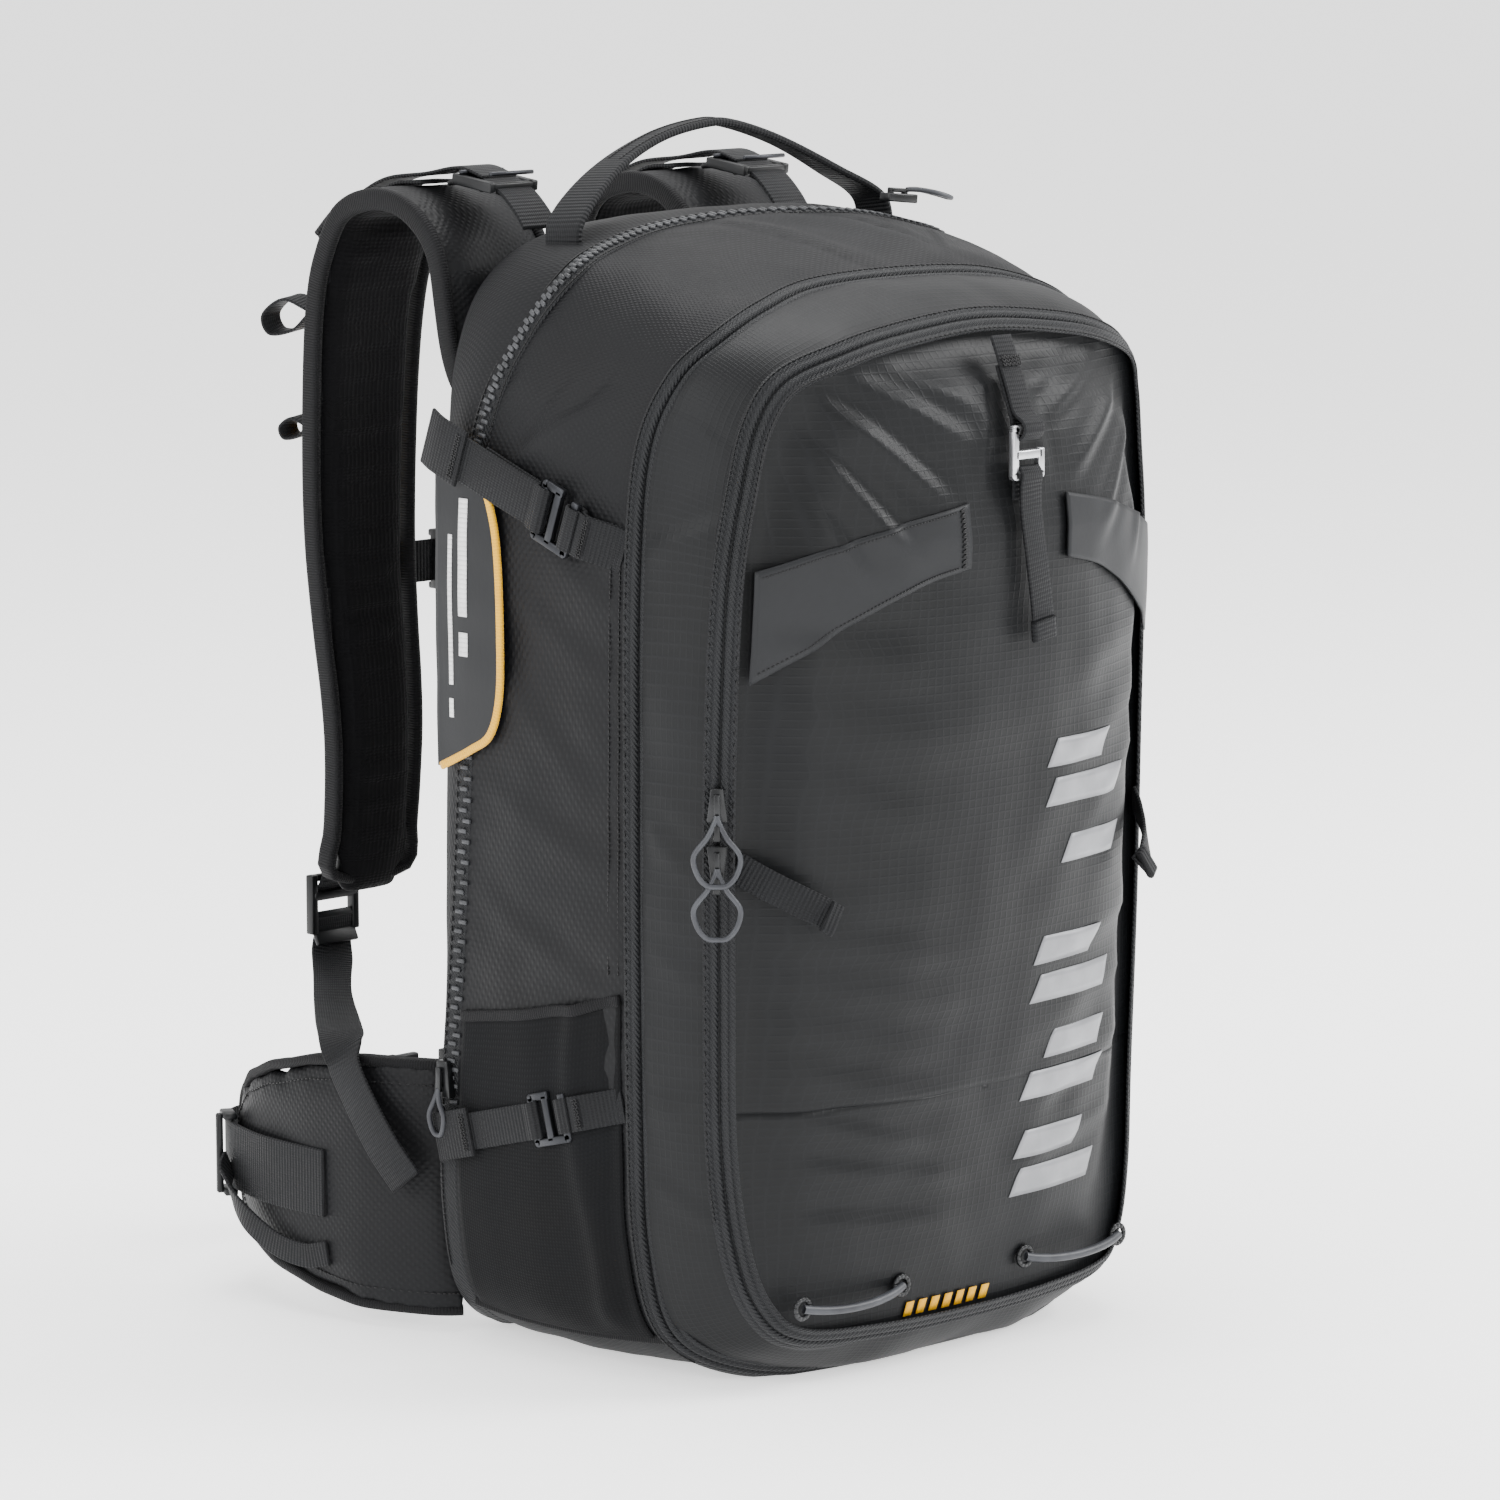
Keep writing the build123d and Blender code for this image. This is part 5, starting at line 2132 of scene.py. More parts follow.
    def build_locks(self) -> None:
        """Make the upper and lower ladder locks."""
        f = self.finishes
        low = self.ladder(
            "lower_ladder_lock_left", Vector((-self.x, 228, 166)), Vector((0, 0, -1)), Vector((1, 0, 0)), 27
        )
        self.both(low, "strap", "buckle_plastic", "locks")
        high = self.ladder(
            "lifter_ladder_lock_left", Vector((-self.x, 115, 495.5)), Vector((0, 0.97, 0.12)),
            Vector((1, 0, 0)), 25
        )
        self.both(high, "strap", "buckle_plastic")
        pins = [
            placed(
                Vector((-self.x, 115 + d, 499.5)), Vector((1, 0, 0)), Vector((0, 1, 0)), (25, 2.4, 1.8)
            ) for d in (-10.5, 8.5)
        ]
        self.both(blocks("lifter_lock_bars_left", pins, f.dark_metal, 0.5), "strap", "dark_metal")

    def build_webs(self) -> None:
        """Make the webbings that join the pads to the pack."""
        f = self.finishes
        low = [
            Vector(p) for p in (
                (-76, 226.5, 160), (-77, 227, 148), (-84, 219, 139), (-102, 198, 131.5), (-122, 172, 127),
                (-138, 151, 125), (-147, 139, 120.5), (-150.6, 132, 111), (-151, 112, 86), (-146.5, 99, 68),
            )
        ]
        turn = [
            (1, 0, 0), (1, -0.1, 0), (0.9, -0.4, 0), (0.8, -0.6, 0), (0.8, -0.6, 0), (0.7, -0.7, 0.1),
            (0.3, -0.85, 0.4), (0, -1, 0.8), (0, -1, 0.8), (0, -1, 0.8)
        ]
        across = [Vector(t).normalized() for t in turn]
        high = [Vector(p) for p in ((-76, 86, 477), (-76, 92, 484), (-76, 101, 491.5), (-76, 112, 496.5))]
        for side in Side:
            s = -side.value
            word = side.word
            knots = [Vector((p.x * s, p.y, p.z)) for p in low]
            sides = [Vector((a.x * s, a.y, a.z)) for a in across]
            web = Strap(
                "lower_webbing_" + word, knots, sides, 20, 1.6, 90,
                lambda t: 1 - 0.15 * math.sin(math.pi * smooth(0.1, 0.5, t))
            ).build(f.webbing)
            booked(web, "pack and strap", "webbing", "lower_web_" + word)
            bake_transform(web)
            knots = [Vector((p.x * s, p.y, p.z)) for p in high]
            web = Strap(
                "lifter_webbing_" + word, knots, [Vector((1, 0, 0))] * 4, 20, 1.6, 24
            ).build(f.webbing)
            booked(web, "pack and strap", "webbing", "lifter_web_" + word)
            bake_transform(web)

    def sternum(self) -> None:
        """Make the sternum strap with its keepers."""
        f = self.finishes
        y, z = 213.4, 318.0
        left = [Vector((x, y + d, z)) for x, d in ((-86, -1.5), (-76, 0), (-50, 0.3), (-22, 0))]
        settle(
            Strap("sternum_webbing_left", left, [Vector((0, 0, 1))] * 4, 19, 1.6, 30).build(f.webbing),
            "strap_left", "webbing", "sternum_web_left"
        )
        right = [Vector((x, y + d, z)) for x, d in ((22, 0), (50, 0.4), (76, 0), (90, -1.0), (100, 1.0))]
        settle(
            Strap("sternum_webbing_right", right, [Vector((0, 0, 1))] * 5, 19, 1.6, 34).build(f.webbing),
            "sternum_tail", "webbing", "sternum_web_right"
        )
        keeper = blocks(
            "sternum_keeper_left",
            [placed(Vector((-self.x, y + d, z + h)), Vector((1, 0, 0)), Vector((0, 0, 1)), size)
             for d, h, size in (
                 (2.2, 0, (14, 28, 1.8)), (0, 12.6, (14, 3.4, 5.6)), (0, -12.6, (14, 3.4, 5.6))
             )],
            f.acetal, 0.5,
        )
        self.both(keeper, "strap", "buckle_plastic", "sternum_slider")


@dataclass
class HipBelt:
    """Padded hip wings with their webbing and its plastic bar."""

    finishes: Finishes
    thick: float = 7.4
    line: Sequence[tuple[float, float]] = (
        (-119, 91), (-129, 101), (-140.5, 130), (-142, 150), (-141.5, 172), (-138.5, 194), (-132, 214),
        (-123, 231), (-118, 238)
    )
    top: Sequence[tuple[float, float]] = (
        (90, 118), (130, 117.5), (160, 114), (190, 107), (212, 99), (230, 86), (238, 70)
    )
    low: Sequence[tuple[float, float]] = (
        (90, 8), (130, 8), (150, 10), (184, 16), (214, 24), (230, 36), (238, 54)
    )

    def height(self, table: Sequence[tuple[float, float]], y: float) -> float:
        """Height from a table of depth and height."""
        for (y0, z0), (y1, z1) in zip(table, table[1:]):
            if y <= y1:
                return z0 + (z1 - z0) * smooth(
                    0, 1, min(1, max(0, (y - y0) / (y1 - y0)))
                ) * 0.4 + (z1 - z0) * 0.6 * min(1, max(0, (y - y0) / (y1 - y0)))
        return table[-1][1]

    def middle(self, t: float) -> tuple[Vector, Vector]:
        """Point of the wing's centre surface at floor level and its outward direction.

        Args:
            t: Share from the root to the tip.

        Returns:
            Point and outward direction.
        """
        knots = [Vector((x, y, 0)) for x, y in self.line]
        p = through(knots, t)
        ahead = through(knots, min(1, t + 0.01)) - through(knots, max(0, t - 0.01))
        return p, Vector((-ahead.y, ahead.x, 0)).normalized()

    def surface(self, t: float, v: float, off: float) -> Vector:
        """Point of the wing.

        Args:
            t: Share from the root to the tip.
            v: 0 at the lower edge, 1 at the upper.
            off: Distance outward of the centre surface.

        Returns:
            The point.
        """
        p, out = self.middle(t)
        z = self.height(self.low, p.y) * (1 - v) + self.height(self.top, p.y) * v
        return Vector((p.x, p.y, z)) + out * off

    def wing(self) -> bpy.types.Object:
        """Make the left wing as a filled cushion with a sewn inset line."""
        f = self.finishes
        bm = bmesh.new()
        bmesh.ops.create_cube(bm, size=1.0)
        bmesh.ops.subdivide_edges(bm, edges=bm.edges[:], cuts=30, use_grid_fill=True)
        for vert in bm.verts:
            vert.co = self.surface(vert.co.x + 0.5, vert.co.y + 0.5, -vert.co.z * self.thick)
        bmesh.ops.recalc_face_normals(bm, faces=bm.faces)
        piece = finish_mesh(bm, "hip_wing_cloth_left", f.side)
        Padding(voxel=4.5, swell=2.0).fill(piece, f.side)
        for vert in piece.data.vertices:
            p = vert.co / MM
            zt, zl = self.height(self.top, p.y), self.height(self.low, p.y)
            inset = min(zt - p.z, p.z - zl, (238 - p.y) * 0.9)
            out = Vector((-1, 0.15, 0)).normalized()
            side = 1 if p.x < self.inner_x(p.y) else -1
            groove = 1.2 * math.exp(-((inset - 9.0) / 2.0) ** 2) - 0.7 * smooth(9, 22, inset)
            rumple = 1.1 * noise.noise(p * 0.03) * smooth(10, 20, inset)
            vert.co += out * (side * (-groove + rumple) * MM)
        chart(piece, lambda p: (p.y * MM, p.z * MM))
        soften(piece)
        return piece

    def inner_x(self, y: float) -> float:
        """X of the wing's centre surface at a depth.

        Args:
            y: Depth.

        Returns:
            X of the centre surface.
        """
        pts = self.line
        for (x0, y0), (x1, y1) in zip(pts, pts[1:]):
            if y <= y1:
                return x0 + (x1 - x0) * min(1, max(0, (y - y0) / (y1 - y0)))
        return pts[-1][0]

    def rim(self) -> bpy.types.Object:
        """Bound edge of the left wing."""
        knots, across = [], []
        along = [0.02 + 0.049 * k for k in range(20)]
        for row, ts, lift in ((1.0, along, -0.7), (None, (0.86, 0.5, 0.14), 0.0), (0.0, along[::-1], 0.9)):
            for t in ts:
                share, v = (0.985, t) if row is None else (t, row)
                knots.append(self.surface(share, v, 0) + Vector((0, 0, lift)))
                across.append(self.middle(share)[1])
        return swept(
            "hip_wing_binding_left", rail(knots, across, 200), outline_box(9.4, 4.6, 1.8, 2),
            self.finishes.binding
        )

    def stitch_line(self) -> bpy.types.Object:
        """Stitches inside the left wing's bound edge, on its outer face."""
        places, line = [], []
        for k in range(120):
            t = 0.04 + 0.9 * k / 119
            line.append(self.surface(t, 1.0, self.thick / 2 + 1.4) - Vector((0, 0, 9)))
        low = [
            self.surface(0.04 + 0.9 * k / 119, 0.0, self.thick / 2 + 1.4) + Vector((0, 0, 9))
            for k in range(120)
        ]
        for row in (line, low):
            for a, b in zip(row[::2], row[1::2]):
                places.append(placed((a + b) / 2, b - a, Vector((0, 0, 1)), (1.9, 0.5, 0.5)))
        return blocks("hip_wing_stitching_left", places, self.finishes.thread)

    def webbing(self) -> bpy.types.Object:
        """Belt webbing of the left wing, from its sewn end round the tip to the buckle."""
        knots = [
            Vector(p)
            for p in (
                (-149.2, 150, 60), (-149.4, 176, 60), (-147.2, 198, 60), (-139, 224, 60), (-126, 243, 60),
                (-106, 251.5, 60), (-78, 256.5, 60), (-44, 262, 60)
            )
        ]
        return Strap(
            "hip_webbing_left", knots, [Vector((0, 0, 1))] * len(knots), 30, 1.9, 90
        ).build(self.finishes.webbing)

    def build(self) -> None:
        """Make both wings, the webbing and its plastic bar."""
        f = self.finishes
        helper = ShoulderStraps(f)
        wing = self.wing()
        helper.both(wing, "belt", "pad_foam", "hip_wing")
        helper.both(self.rim(), "belt", "webbing")
        helper.both(self.stitch_line(), "belt", "webbing")
        helper.both(self.webbing(), "belt", "webbing", "hip_web")
        slider = blocks(
            "hip_webbing_bar_left",
            [placed(Vector((-137.5, 229.0, 60 + d)), Vector((0.5, 0.86, 0)), Vector((0, 0, 1)), size)
             for d, size in ((17.2, (13, 3.0, 6.0)), (-17.2, (13, 3.0, 6.0)))]
            + [
                placed(
                    Vector((-141.5, 230.5, 60)), Vector((0.5, 0.86, 0)), Vector((0, 0, 1)), (3.4, 36, 3.0)
                )
            ],
            f.acetal, 0.6,
        )
        helper.both(slider, "belt", "buckle_plastic")
        tail = [
            Vector(p)
            for p in (
                (-141, 226, 58), (-147, 219, 50), (-150.5, 204, 38), (-151.0, 184, 29), (-150.5, 164, 26),
                (-149.5, 148, 29)
            )
        ]
        self_turn = [
            Vector((0, 0.2, 1)), Vector((0, 0.5, 0.85)), Vector((0, 0.5, 0.85)), Vector((0, 0.2, 1)),
            Vector((0, -0.1, 1)), Vector((0, -0.3, 1))
        ]
        helper.both(
            Strap("hip_webbing_tail_left", tail, self_turn, 11, 1.5, 60).build(f.webbing), "belt", "webbing"
        )


# ------------------------------------------------------------------ front, handle and small parts

LEVEL = Vector((0, 0, 1))
ACROSS = Vector((1, 0, 0))


@dataclass
class FrontDetails:
    """Hooked strap, patches, tabs, tool loops and printed marks of the front."""

    finishes: Finishes
    panel: FrontPanel
    hook_y: float = -128.5
    hook_z: float = 382.0

    def strap(self) -> None:
        """Make the sewn loop, the bright hook and the hanging tail."""
        f = self.finishes
        y, z = self.hook_y, self.hook_z
        hook = GearHook("front_gear_hook", 12.0)
        settle(
            hook.build(own_axes(Vector((0, y, z)), LEVEL, ACROSS), f.bright_metal), "front_hook",
            "bright_metal", "front_hook"
        )
        top = [
            Vector(p)
            for p in (
                (0, -113.0, 439), (0, -117.5, 429), (0, -122.5, 417), (0, -126.2, 408), (0, -131.5, 404.2),
                (0, -132.6, 400.5), (0, -129.6, 397.2), (0, -125.8, 399.5), (0, -124.4, 406),
                (0, -120.5, 416), (0, -116.2, 427)
            )
        ]
        settle(
            Strap("front_strap_loop", top, [ACROSS] * len(top), 12, 1.5, 90).build(f.webbing), "lid",
            "webbing", "front_strap"
        )
        settle(
            bar_tack(
                "front_strap_tack", Vector((0, -119.6, 429)), Vector((0, 0.4, 1)), ACROSS, 11, 3, f.thread
            ),
            "lid", "webbing"
        )
        tail = [
            Vector(p)
            for p in (
                (1, -125.6, 372), (0.4, -126.0, 379), (0, -126.4, 384), (0, -129.2, 385.4),
                (0, -131.6, 382), (0.3, -130.6, 377), (1.5, -129.8, 366), (4, -130.8, 346),
                (7.5, -130.6, 326), (9.5, -129.6, 312)
            )
        ]
        settle(
            Strap("front_strap_tail", tail, [ACROSS] * len(tail), 12.4, 1.5, 90).build(f.webbing),
            "front_hook", "webbing", "front_tail"
        )
        hem = [Vector(p) for p in ((8.2, -130.6, 321), (9.6, -130.0, 312.5))]
        settle(
            Strap("front_strap_hem", hem, [ACROSS] * 2, 13.2, 3.6, 6).build(f.webbing), "front_hook",
            "webbing"
        )

    def patch(self, side: Side) -> None:
        """Make one coated wing patch with its stitched inner end.

        Args:
            side: Which side.
        """
        f, s = self.finishes, side.value
        top = [Vector((x, 0, z)) for x, z in ((29, 372), (60, 366), (90, 357.5), (118, 348))]
        low = [Vector((x, 0, z)) for x, z in ((29, 345), (56, 338), (88, 322), (119.5, 301))]

        def place(u: float, v: float) -> Vector:
            """Point of the sheet for its two shares."""
            a, b = through(top, u), through(low, u)
            p = a.lerp(b, v)
            return self.panel.at_height(s * p.x, p.z) + Vector((0, -1.3, 0))

        piece = grid_sheet("wing_patch_" + side.word, (40, 16), place, f.patch, (92, 40), outward=HEART)
        thicken(piece, 1.2)
        settle(piece, "lid", "patch", *(("wing_patches",) if side is Side.LEFT else ()))
        places = []
        for k in range(24):
            a, b = place(0.03 + 0.035 * (k % 2), 0.03 + 0.94 * k / 24), place(
                0.03 + 0.035 * ((k + 1) % 2), 0.03 + 0.94 * (k + 1) / 24
            )
            places.append(
                placed((a + b) / 2 + Vector((0, -0.4, 0)), b - a, Vector((0, 1, 0)), (2.4, 0.5, 0.5))
            )
        for k in range(58):
            for v in (0.07, 0.93):
                a, b = place(0.08 + 0.9 * k / 58, v), place(0.08 + 0.9 * (k + 0.62) / 58, v)
                places.append(
                    placed((a + b) / 2 + Vector((0, -0.3, 0)), b - a, Vector((0, 1, 0)), (1.1, 0.4, 0.4))
                )
        settle(blocks("wing_patch_stitching_" + side.word, places, f.thread), "lid", "patch")

    def tab(self, side: Side) -> None:
        """Make one short webbing tab from the tool zip.

        Args:
            side: Which side.
        """
        s = side.value
        knots = [
            Vector((s * x, y, z)) for x, y,
            z in (
                (122, -79, 226), (115, -90, 219), (106, -101, 212), (97, -108.5, 206), (93.5, -110, 202.5)
            )
        ]
        across = [Vector((0.1 * s, 0.3, 1)).normalized()] * 5
        settle(
            Strap("zip_end_tab_" + side.word, knots, across, 13, 1.7, 30).build(self.finishes.webbing),
            "front_section", "webbing"
        )
        hem = [Vector((s * x, y, z)) for x, y, z in ((98.5, -109.2, 206), (94, -111.2, 203))]
        settle(
            Strap("zip_end_tab_hem_" + side.word, hem, across[:2], 14, 3.2, 6).build(self.finishes.webbing),
            "front_section", "webbing"
        )

    def tool_loop(self, side: Side) -> None:
        """Make one bungee loop as a cord with a grommet at each end.

        Args:
            side: Which side.
        """
        s = side.value
        route = [
            (s * 0.097, -0.0945, 0.037), (s * 0.084, -0.0985, 0.034), (s * 0.050, -0.0985, 0.034),
            (s * 0.038, -0.0945, 0.037)
        ]
        data = bpy.data.curves.new("tool_loop_cord_" + side.word, "CURVE")
        data.dimensions = "3D"
        data.bevel_depth = 0.0019
        data.bevel_resolution = 4
        spline = data.splines.new("NURBS")
        spline.points.add(len(route) - 1)
        for point, at in zip(spline.points, route):
            point.co = (*at, 1.0)
        spline.order_u = 3
        spline.use_endpoint_u = True
        data.materials.append(self.finishes.cord)
        cord = bpy.data.objects.new(data.name, data)
        bpy.context.scene.collection.objects.link(cord)
        settle(cord, "pack", "cord", *(("tool_loops",) if side is Side.LEFT else ()))
        rings = []
        for x, y, z in (route[0], route[-1]):
            for k in range(12):
                a = 2 * math.pi * k / 12
                at = Vector((x / MM + 4 * math.cos(a), y / MM + 0.6, z / MM + 4 * math.sin(a)))
                rings.append(
                    placed(at, Vector((-math.sin(a), 0, math.cos(a))), Vector((0, 1, 0)), (2.6, 1.6, 2.2))
                )
        settle(
            blocks("tool_loop_grommets_" + side.word, rings, self.finishes.slider, 0.4), "pack",
            "slider_metal"
        )

    def marks(self) -> None:
        """Print plain reflective and yellow bars in place of words."""
        f = self.finishes
        bars = []
        for k in range(5):
            z = 66 + 43.0 * k
            bars.append((26, z, 82, z + 12, 6))
            bars.append((26 + 14 * (k % 2), z + 17, 68 + 14 * (k % 2), z + 29, 6))
        on_lid = [b for b in bars if b[1] > 205]
        on_front = [b for b in bars if b[3] < 198]
        piece = PrintedBars("reflective_bars_lower", on_front).build(self.panel.at_height, f.reflective)
        settle(piece, "front_section", "patch")
        settle(
            PrintedBars("reflective_bars_upper", on_lid).build(self.panel.at_height, f.reflective), "lid",
            "patch"
        )
        small = [(-34 + 7.6 * k, 22.5, -29.5 + 7.6 * k, 28.5, 1.8) for k in range(7)]
        settle(
            PrintedBars("yellow_bars", small).build(self.panel.at_height, f.yellow_print), "pack", "accent"
        )

    def build(self) -> None:
        """Make every front detail."""
        self.strap()
        for side in Side:
            self.patch(side)
            self.tab(side)
            self.tool_loop(side)
        self.marks()


@dataclass
class SmallParts:
    """Sliders with cord pulls, haul handle, pocket, seams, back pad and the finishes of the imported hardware."""

    finishes: Finishes
    shell: Shell

    def sliders(self) -> None:
        """Make the zip sliders and their pulls."""
        f = self.finishes
        down, out, wide = Vector((0, 0, -1)), Vector((-0.7071, -0.7071, 0)), Vector((0.7071, -0.7071, 0))
        for name, body, z, node, pull in (
            ("tool_zip_slider_high", "tool_slider", 252, ("tool_slider",), ("tool_pull", ("tool_pull",))),
            ("tool_zip_slider_low", "front_section", 228, ("tool_slider_low",), ("front_section", ())),
        ):
            at = Vector((-130.2, -77.6, z))
            turn = own_axes(at, down if z > 240 else -down, out.cross(down if z > 240 else -down))
            settle(ZipSlider(name).build(turn, f.slider), body, "slider_metal", *node)
            loop = CordPull(name + "_pull")
            top = at + out * 4.2 + down * (4 if z > 240 else 2)
            settle(
                loop.build(top, (down + out * 0.06).normalized(), wide, out, f.cord), pull[0], "cord",
                *pull[1]
            )
            settle(
                blocks(
                    name + "_keeper", [placed(top + down * 7.0 + out * 0.6, down, wide, (7, 3.4, 3.0))],
                    f.acetal, 0.7
                ),
                pull[0], "cord"
            )
        at = Vector((138.6, -37.5, 72))
        side_out, side_wide = Vector((0.94, -0.34, 0)), Vector((0.34, 0.94, 0))
        settle(
            ZipSlider("main_zip_slider").build(own_axes(at, down, side_out.cross(down)), f.slider),
            "main_slider", "slider_metal", "main_slider"
        )
        top = at + side_out * 3.6 + down * 3
        settle(
            CordPull("main_zip_pull", 15, 26).build(top, down, side_wide, side_out, f.cord), "main_pull",
            "cord", "main_pull"
        )
        at = Vector((-141.2, 79.6, 116))
        west = Vector((-1, 0, 0))
        settle(
            ZipSlider("burst_zip_slider_low", (16, 10, 4)).build(
                own_axes(at, down, west.cross(down)), f.slider
            ),
            "pack", "slider_metal", "airbag_sliders"
        )
        top = at + west * 3.6 + down * 4
        settle(
            CordPull("burst_zip_pull_low", 9, 20).build(top, down, Vector((0, 1, 0)), west, f.cord), "pack",
            "cord"
        )
        at = Vector((84, 29.2, 484.6))
        settle(
            ZipSlider("burst_zip_slider_high", (16, 10, 4)).build(
                own_axes(at, Vector((1, 0, -0.1)), Vector((0, 1, 0))), f.slider
            ),
            "pack", "slider_metal"
        )
        settle(
            CordPull("burst_zip_pull_high", 8, 22).build(
                at + Vector((6, 0, 3.2)), Vector((0.93, -0.3, -0.22)), Vector((0.3, 0.95, 0)), LEVEL, f.cord
            ),
            "pack", "cord"
        )

    def handle(self) -> None:
        """Make the haul handle of folded webbing."""
        f = self.finishes
        knots = [
            Vector(p)
            for p in (
                (-94, 52, 468), (-91, 53, 483), (-66, 56.5, 502), (-34, 60.5, 514.5), (-4, 63, 519.5),
                (14, 63, 518.5), (42, 61.5, 510), (70, 58, 496.5), (91, 54, 484), (94, 52, 468)
            )
        ]
        across = [Vector((0, 1, 0))] * len(knots)
        strap = Strap(
            "haul_handle_webbing", knots, across, 21, 3.2, 120,
            lambda t: 1.0 - 0.45 * smooth(0.12, 0.34, t) * (1 - smooth(0.66, 0.88, t))
        )
        settle(strap.build(f.webbing), "pack", "webbing", "haul_handle")
        places = []
        for k in range(70):
            for d in (-3.4, 3.4):
                a, b = through(knots, 0.25 + 0.5 * k / 70), through(knots, 0.25 + 0.5 * (k + 0.6) / 70)
                lift = (b - a).normalized().cross(Vector((0, 1, 0))).normalized() * 1.75
                places.append(
                    placed(
                        (a + b) / 2 + Vector((0, d, 0)) - lift * (1 if lift.z < 0 else -1), b - a,
                        Vector((0, 1, 0)), (1.9, 0.5, 0.5)
                    )
                )
        settle(blocks("haul_handle_stitching", places, f.thread), "pack", "webbing")

    def flank(self, side: Side) -> None:
        """Make one flank's stretch pocket, seams and stitches.

        Args:
            side: Which side.
        """
        f = self.finishes
        panel = ShellPanel("x", BURST_RING, MAIN_RING, 4.0, rumple=0.5)
        left = side is Side.LEFT

        def spot(t: float, v: float, off: float) -> Vector:
            """Point of the flank, lifted off the cloth."""
            p = panel.surface(t if left else 1 - t, v)
            return p + panel.outward(p) * off

        def pocket(u: float, v: float) -> Vector:
            """Point of the pocket's cloth."""
            v2 = 0.05 + 0.86 * v
            t = 0.104 + (0.197 + 0.010 * v - 0.104) * u
            fold = 3.2 * math.exp(
                -((v2 - 0.74 - 0.06 * math.sin(5 * u)) / 0.06) ** 2
            ) - 2.0 * math.exp(-((v2 - 0.86) / 0.04) ** 2)
            body = 3.6 * math.sin(math.pi * min(1, u * 1.02 + 0.02)) ** 0.6 * math.sin(math.pi * v) ** 0.5
            crumple = 1.5 * noise.noise(Vector((u * 3, v * 3.4, 8.0 * side.value))) * math.sin(math.pi * v)
            return spot(
                t, v2,
                1.0 + body + (fold + crumple) * smooth(0.02, 0.2, u) * smooth(0, 0.1, v) * (1 - smooth(0.94, 1, v))
            )

        piece = grid_sheet(
            "stretch_pocket_" + side.word, (60, 44), pocket, f.stretch, (135, 95), outward=HEART
        )
        thicken(piece, 1.4)
        settle(piece, "pack", "shell_fabric")
        hem = [pocket(1.0, k / 12) + Vector((side.value * 0.5, 0, 0)) for k in range(13)]
        settle(
            swept(
                "pocket_hem_" + side.word, rail(hem, [LEVEL] * 13, 60), outline_box(5.0, 2.2, 1.0, 2),
                f.binding
            ),
            "pack", "shell_fabric"
        )
        seam = [spot(0.103, 0.02 + 0.96 * k / 12, 0.6) for k in range(13)]
        settle(
            swept(
                "foot_seam_" + side.word, rail(seam, [LEVEL] * 13, 60), outline_box(4.0, 1.8, 0.8, 2),
                f.binding
            ),
            "pack", "shell_fabric"
        )
        places = []
        for k in range(74):
            for v, t0, t1 in ((0.85, 0.212, 0.29), (0.90, 0.212, 0.29)):
                a = spot(t0 + (t1 - t0) * k / 74, v, 0.35)
                b = spot(t0 + (t1 - t0) * (k + 0.6) / 74, v, 0.35)
                places.append(placed((a + b) / 2, b - a, Vector((0, 1, 0)), (1.6, 0.5, 0.5)))
        settle(blocks("flank_seam_stitching_" + side.word, places, f.thread), "pack", "shell_fabric")

    def back_pad(self) -> None:
        """Make the padded back with its pressed channels."""
        f = self.finishes
        bm = bmesh.new()
        add_box(bm, (0, 100.6, 213), (202, 9.5, 372))
        upright = [e for e in bm.edges if abs(e.verts[0].co.y - e.verts[1].co.y) > 1]
        round_edges(bm, 30, 6, upright)
        piece = finish_mesh(bm, "back_pad_cloth", f.mesh)
        Padding(voxel=5.0, swell=2.6).fill(piece, f.mesh)
        for vert in piece.data.vertices:
            p = vert.co / MM
            if p.y > 100.6:
                spine = math.exp(-((p.x) / 13.0) ** 4)
                rows = sum(math.exp(-((p.z - z - 0.08 * abs(p.x)) / 4.0) ** 2) for z in (98, 168, 238, 308))
                slim = math.exp(-((abs(p.x) - 58) / 4.5) ** 2)
                vert.co.y -= (5.4 * spine + 2.6 * max(rows * (1 - spine), 0.8 * slim)) * MM
        chart(piece, lambda p: (p.x * MM, p.z * MM))
        soften(piece)
        settle(piece, "pack", "pad_foam", "back_pad")

    def sleeves(self) -> None:
        """Make the tool sleeves on the divider."""
        f = self.finishes
        for name, x0, x1, high in (
            ("shovel_sleeve", -92, 8, 300), ("probe_sleeve", 20, 62, 360), ("shaft_sleeve", 68, 112, 330)
        ):
            def place(u: float, v: float) -> Vector:
                """Point of the sheet for its two shares."""
                bulge = 5.5 * math.sin(math.pi * u) ** 0.6 * smooth(0, 0.15, v)
                return Vector((x0 + (x1 - x0) * u, -50.2 - bulge, 70 + (high - 70) * v))

            piece = grid_sheet(
                name, (20, 20), place, f.stretch, (abs(x1 - x0), high - 70), outward=Vector((0, 20, 200))
            )
            thicken(piece, 1.2)
            settle(piece, "front_section", "lining")

    def packet(self) -> None:
        """Make the folded airbag behind its zip, with pressed folds."""
        f = self.finishes
        low, high = (Vector(corner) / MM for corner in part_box("airbag_packet"))
        mid_y, deep = (low.y + high.y) / 2, high.y - low.y - 4
        bm = bmesh.new()
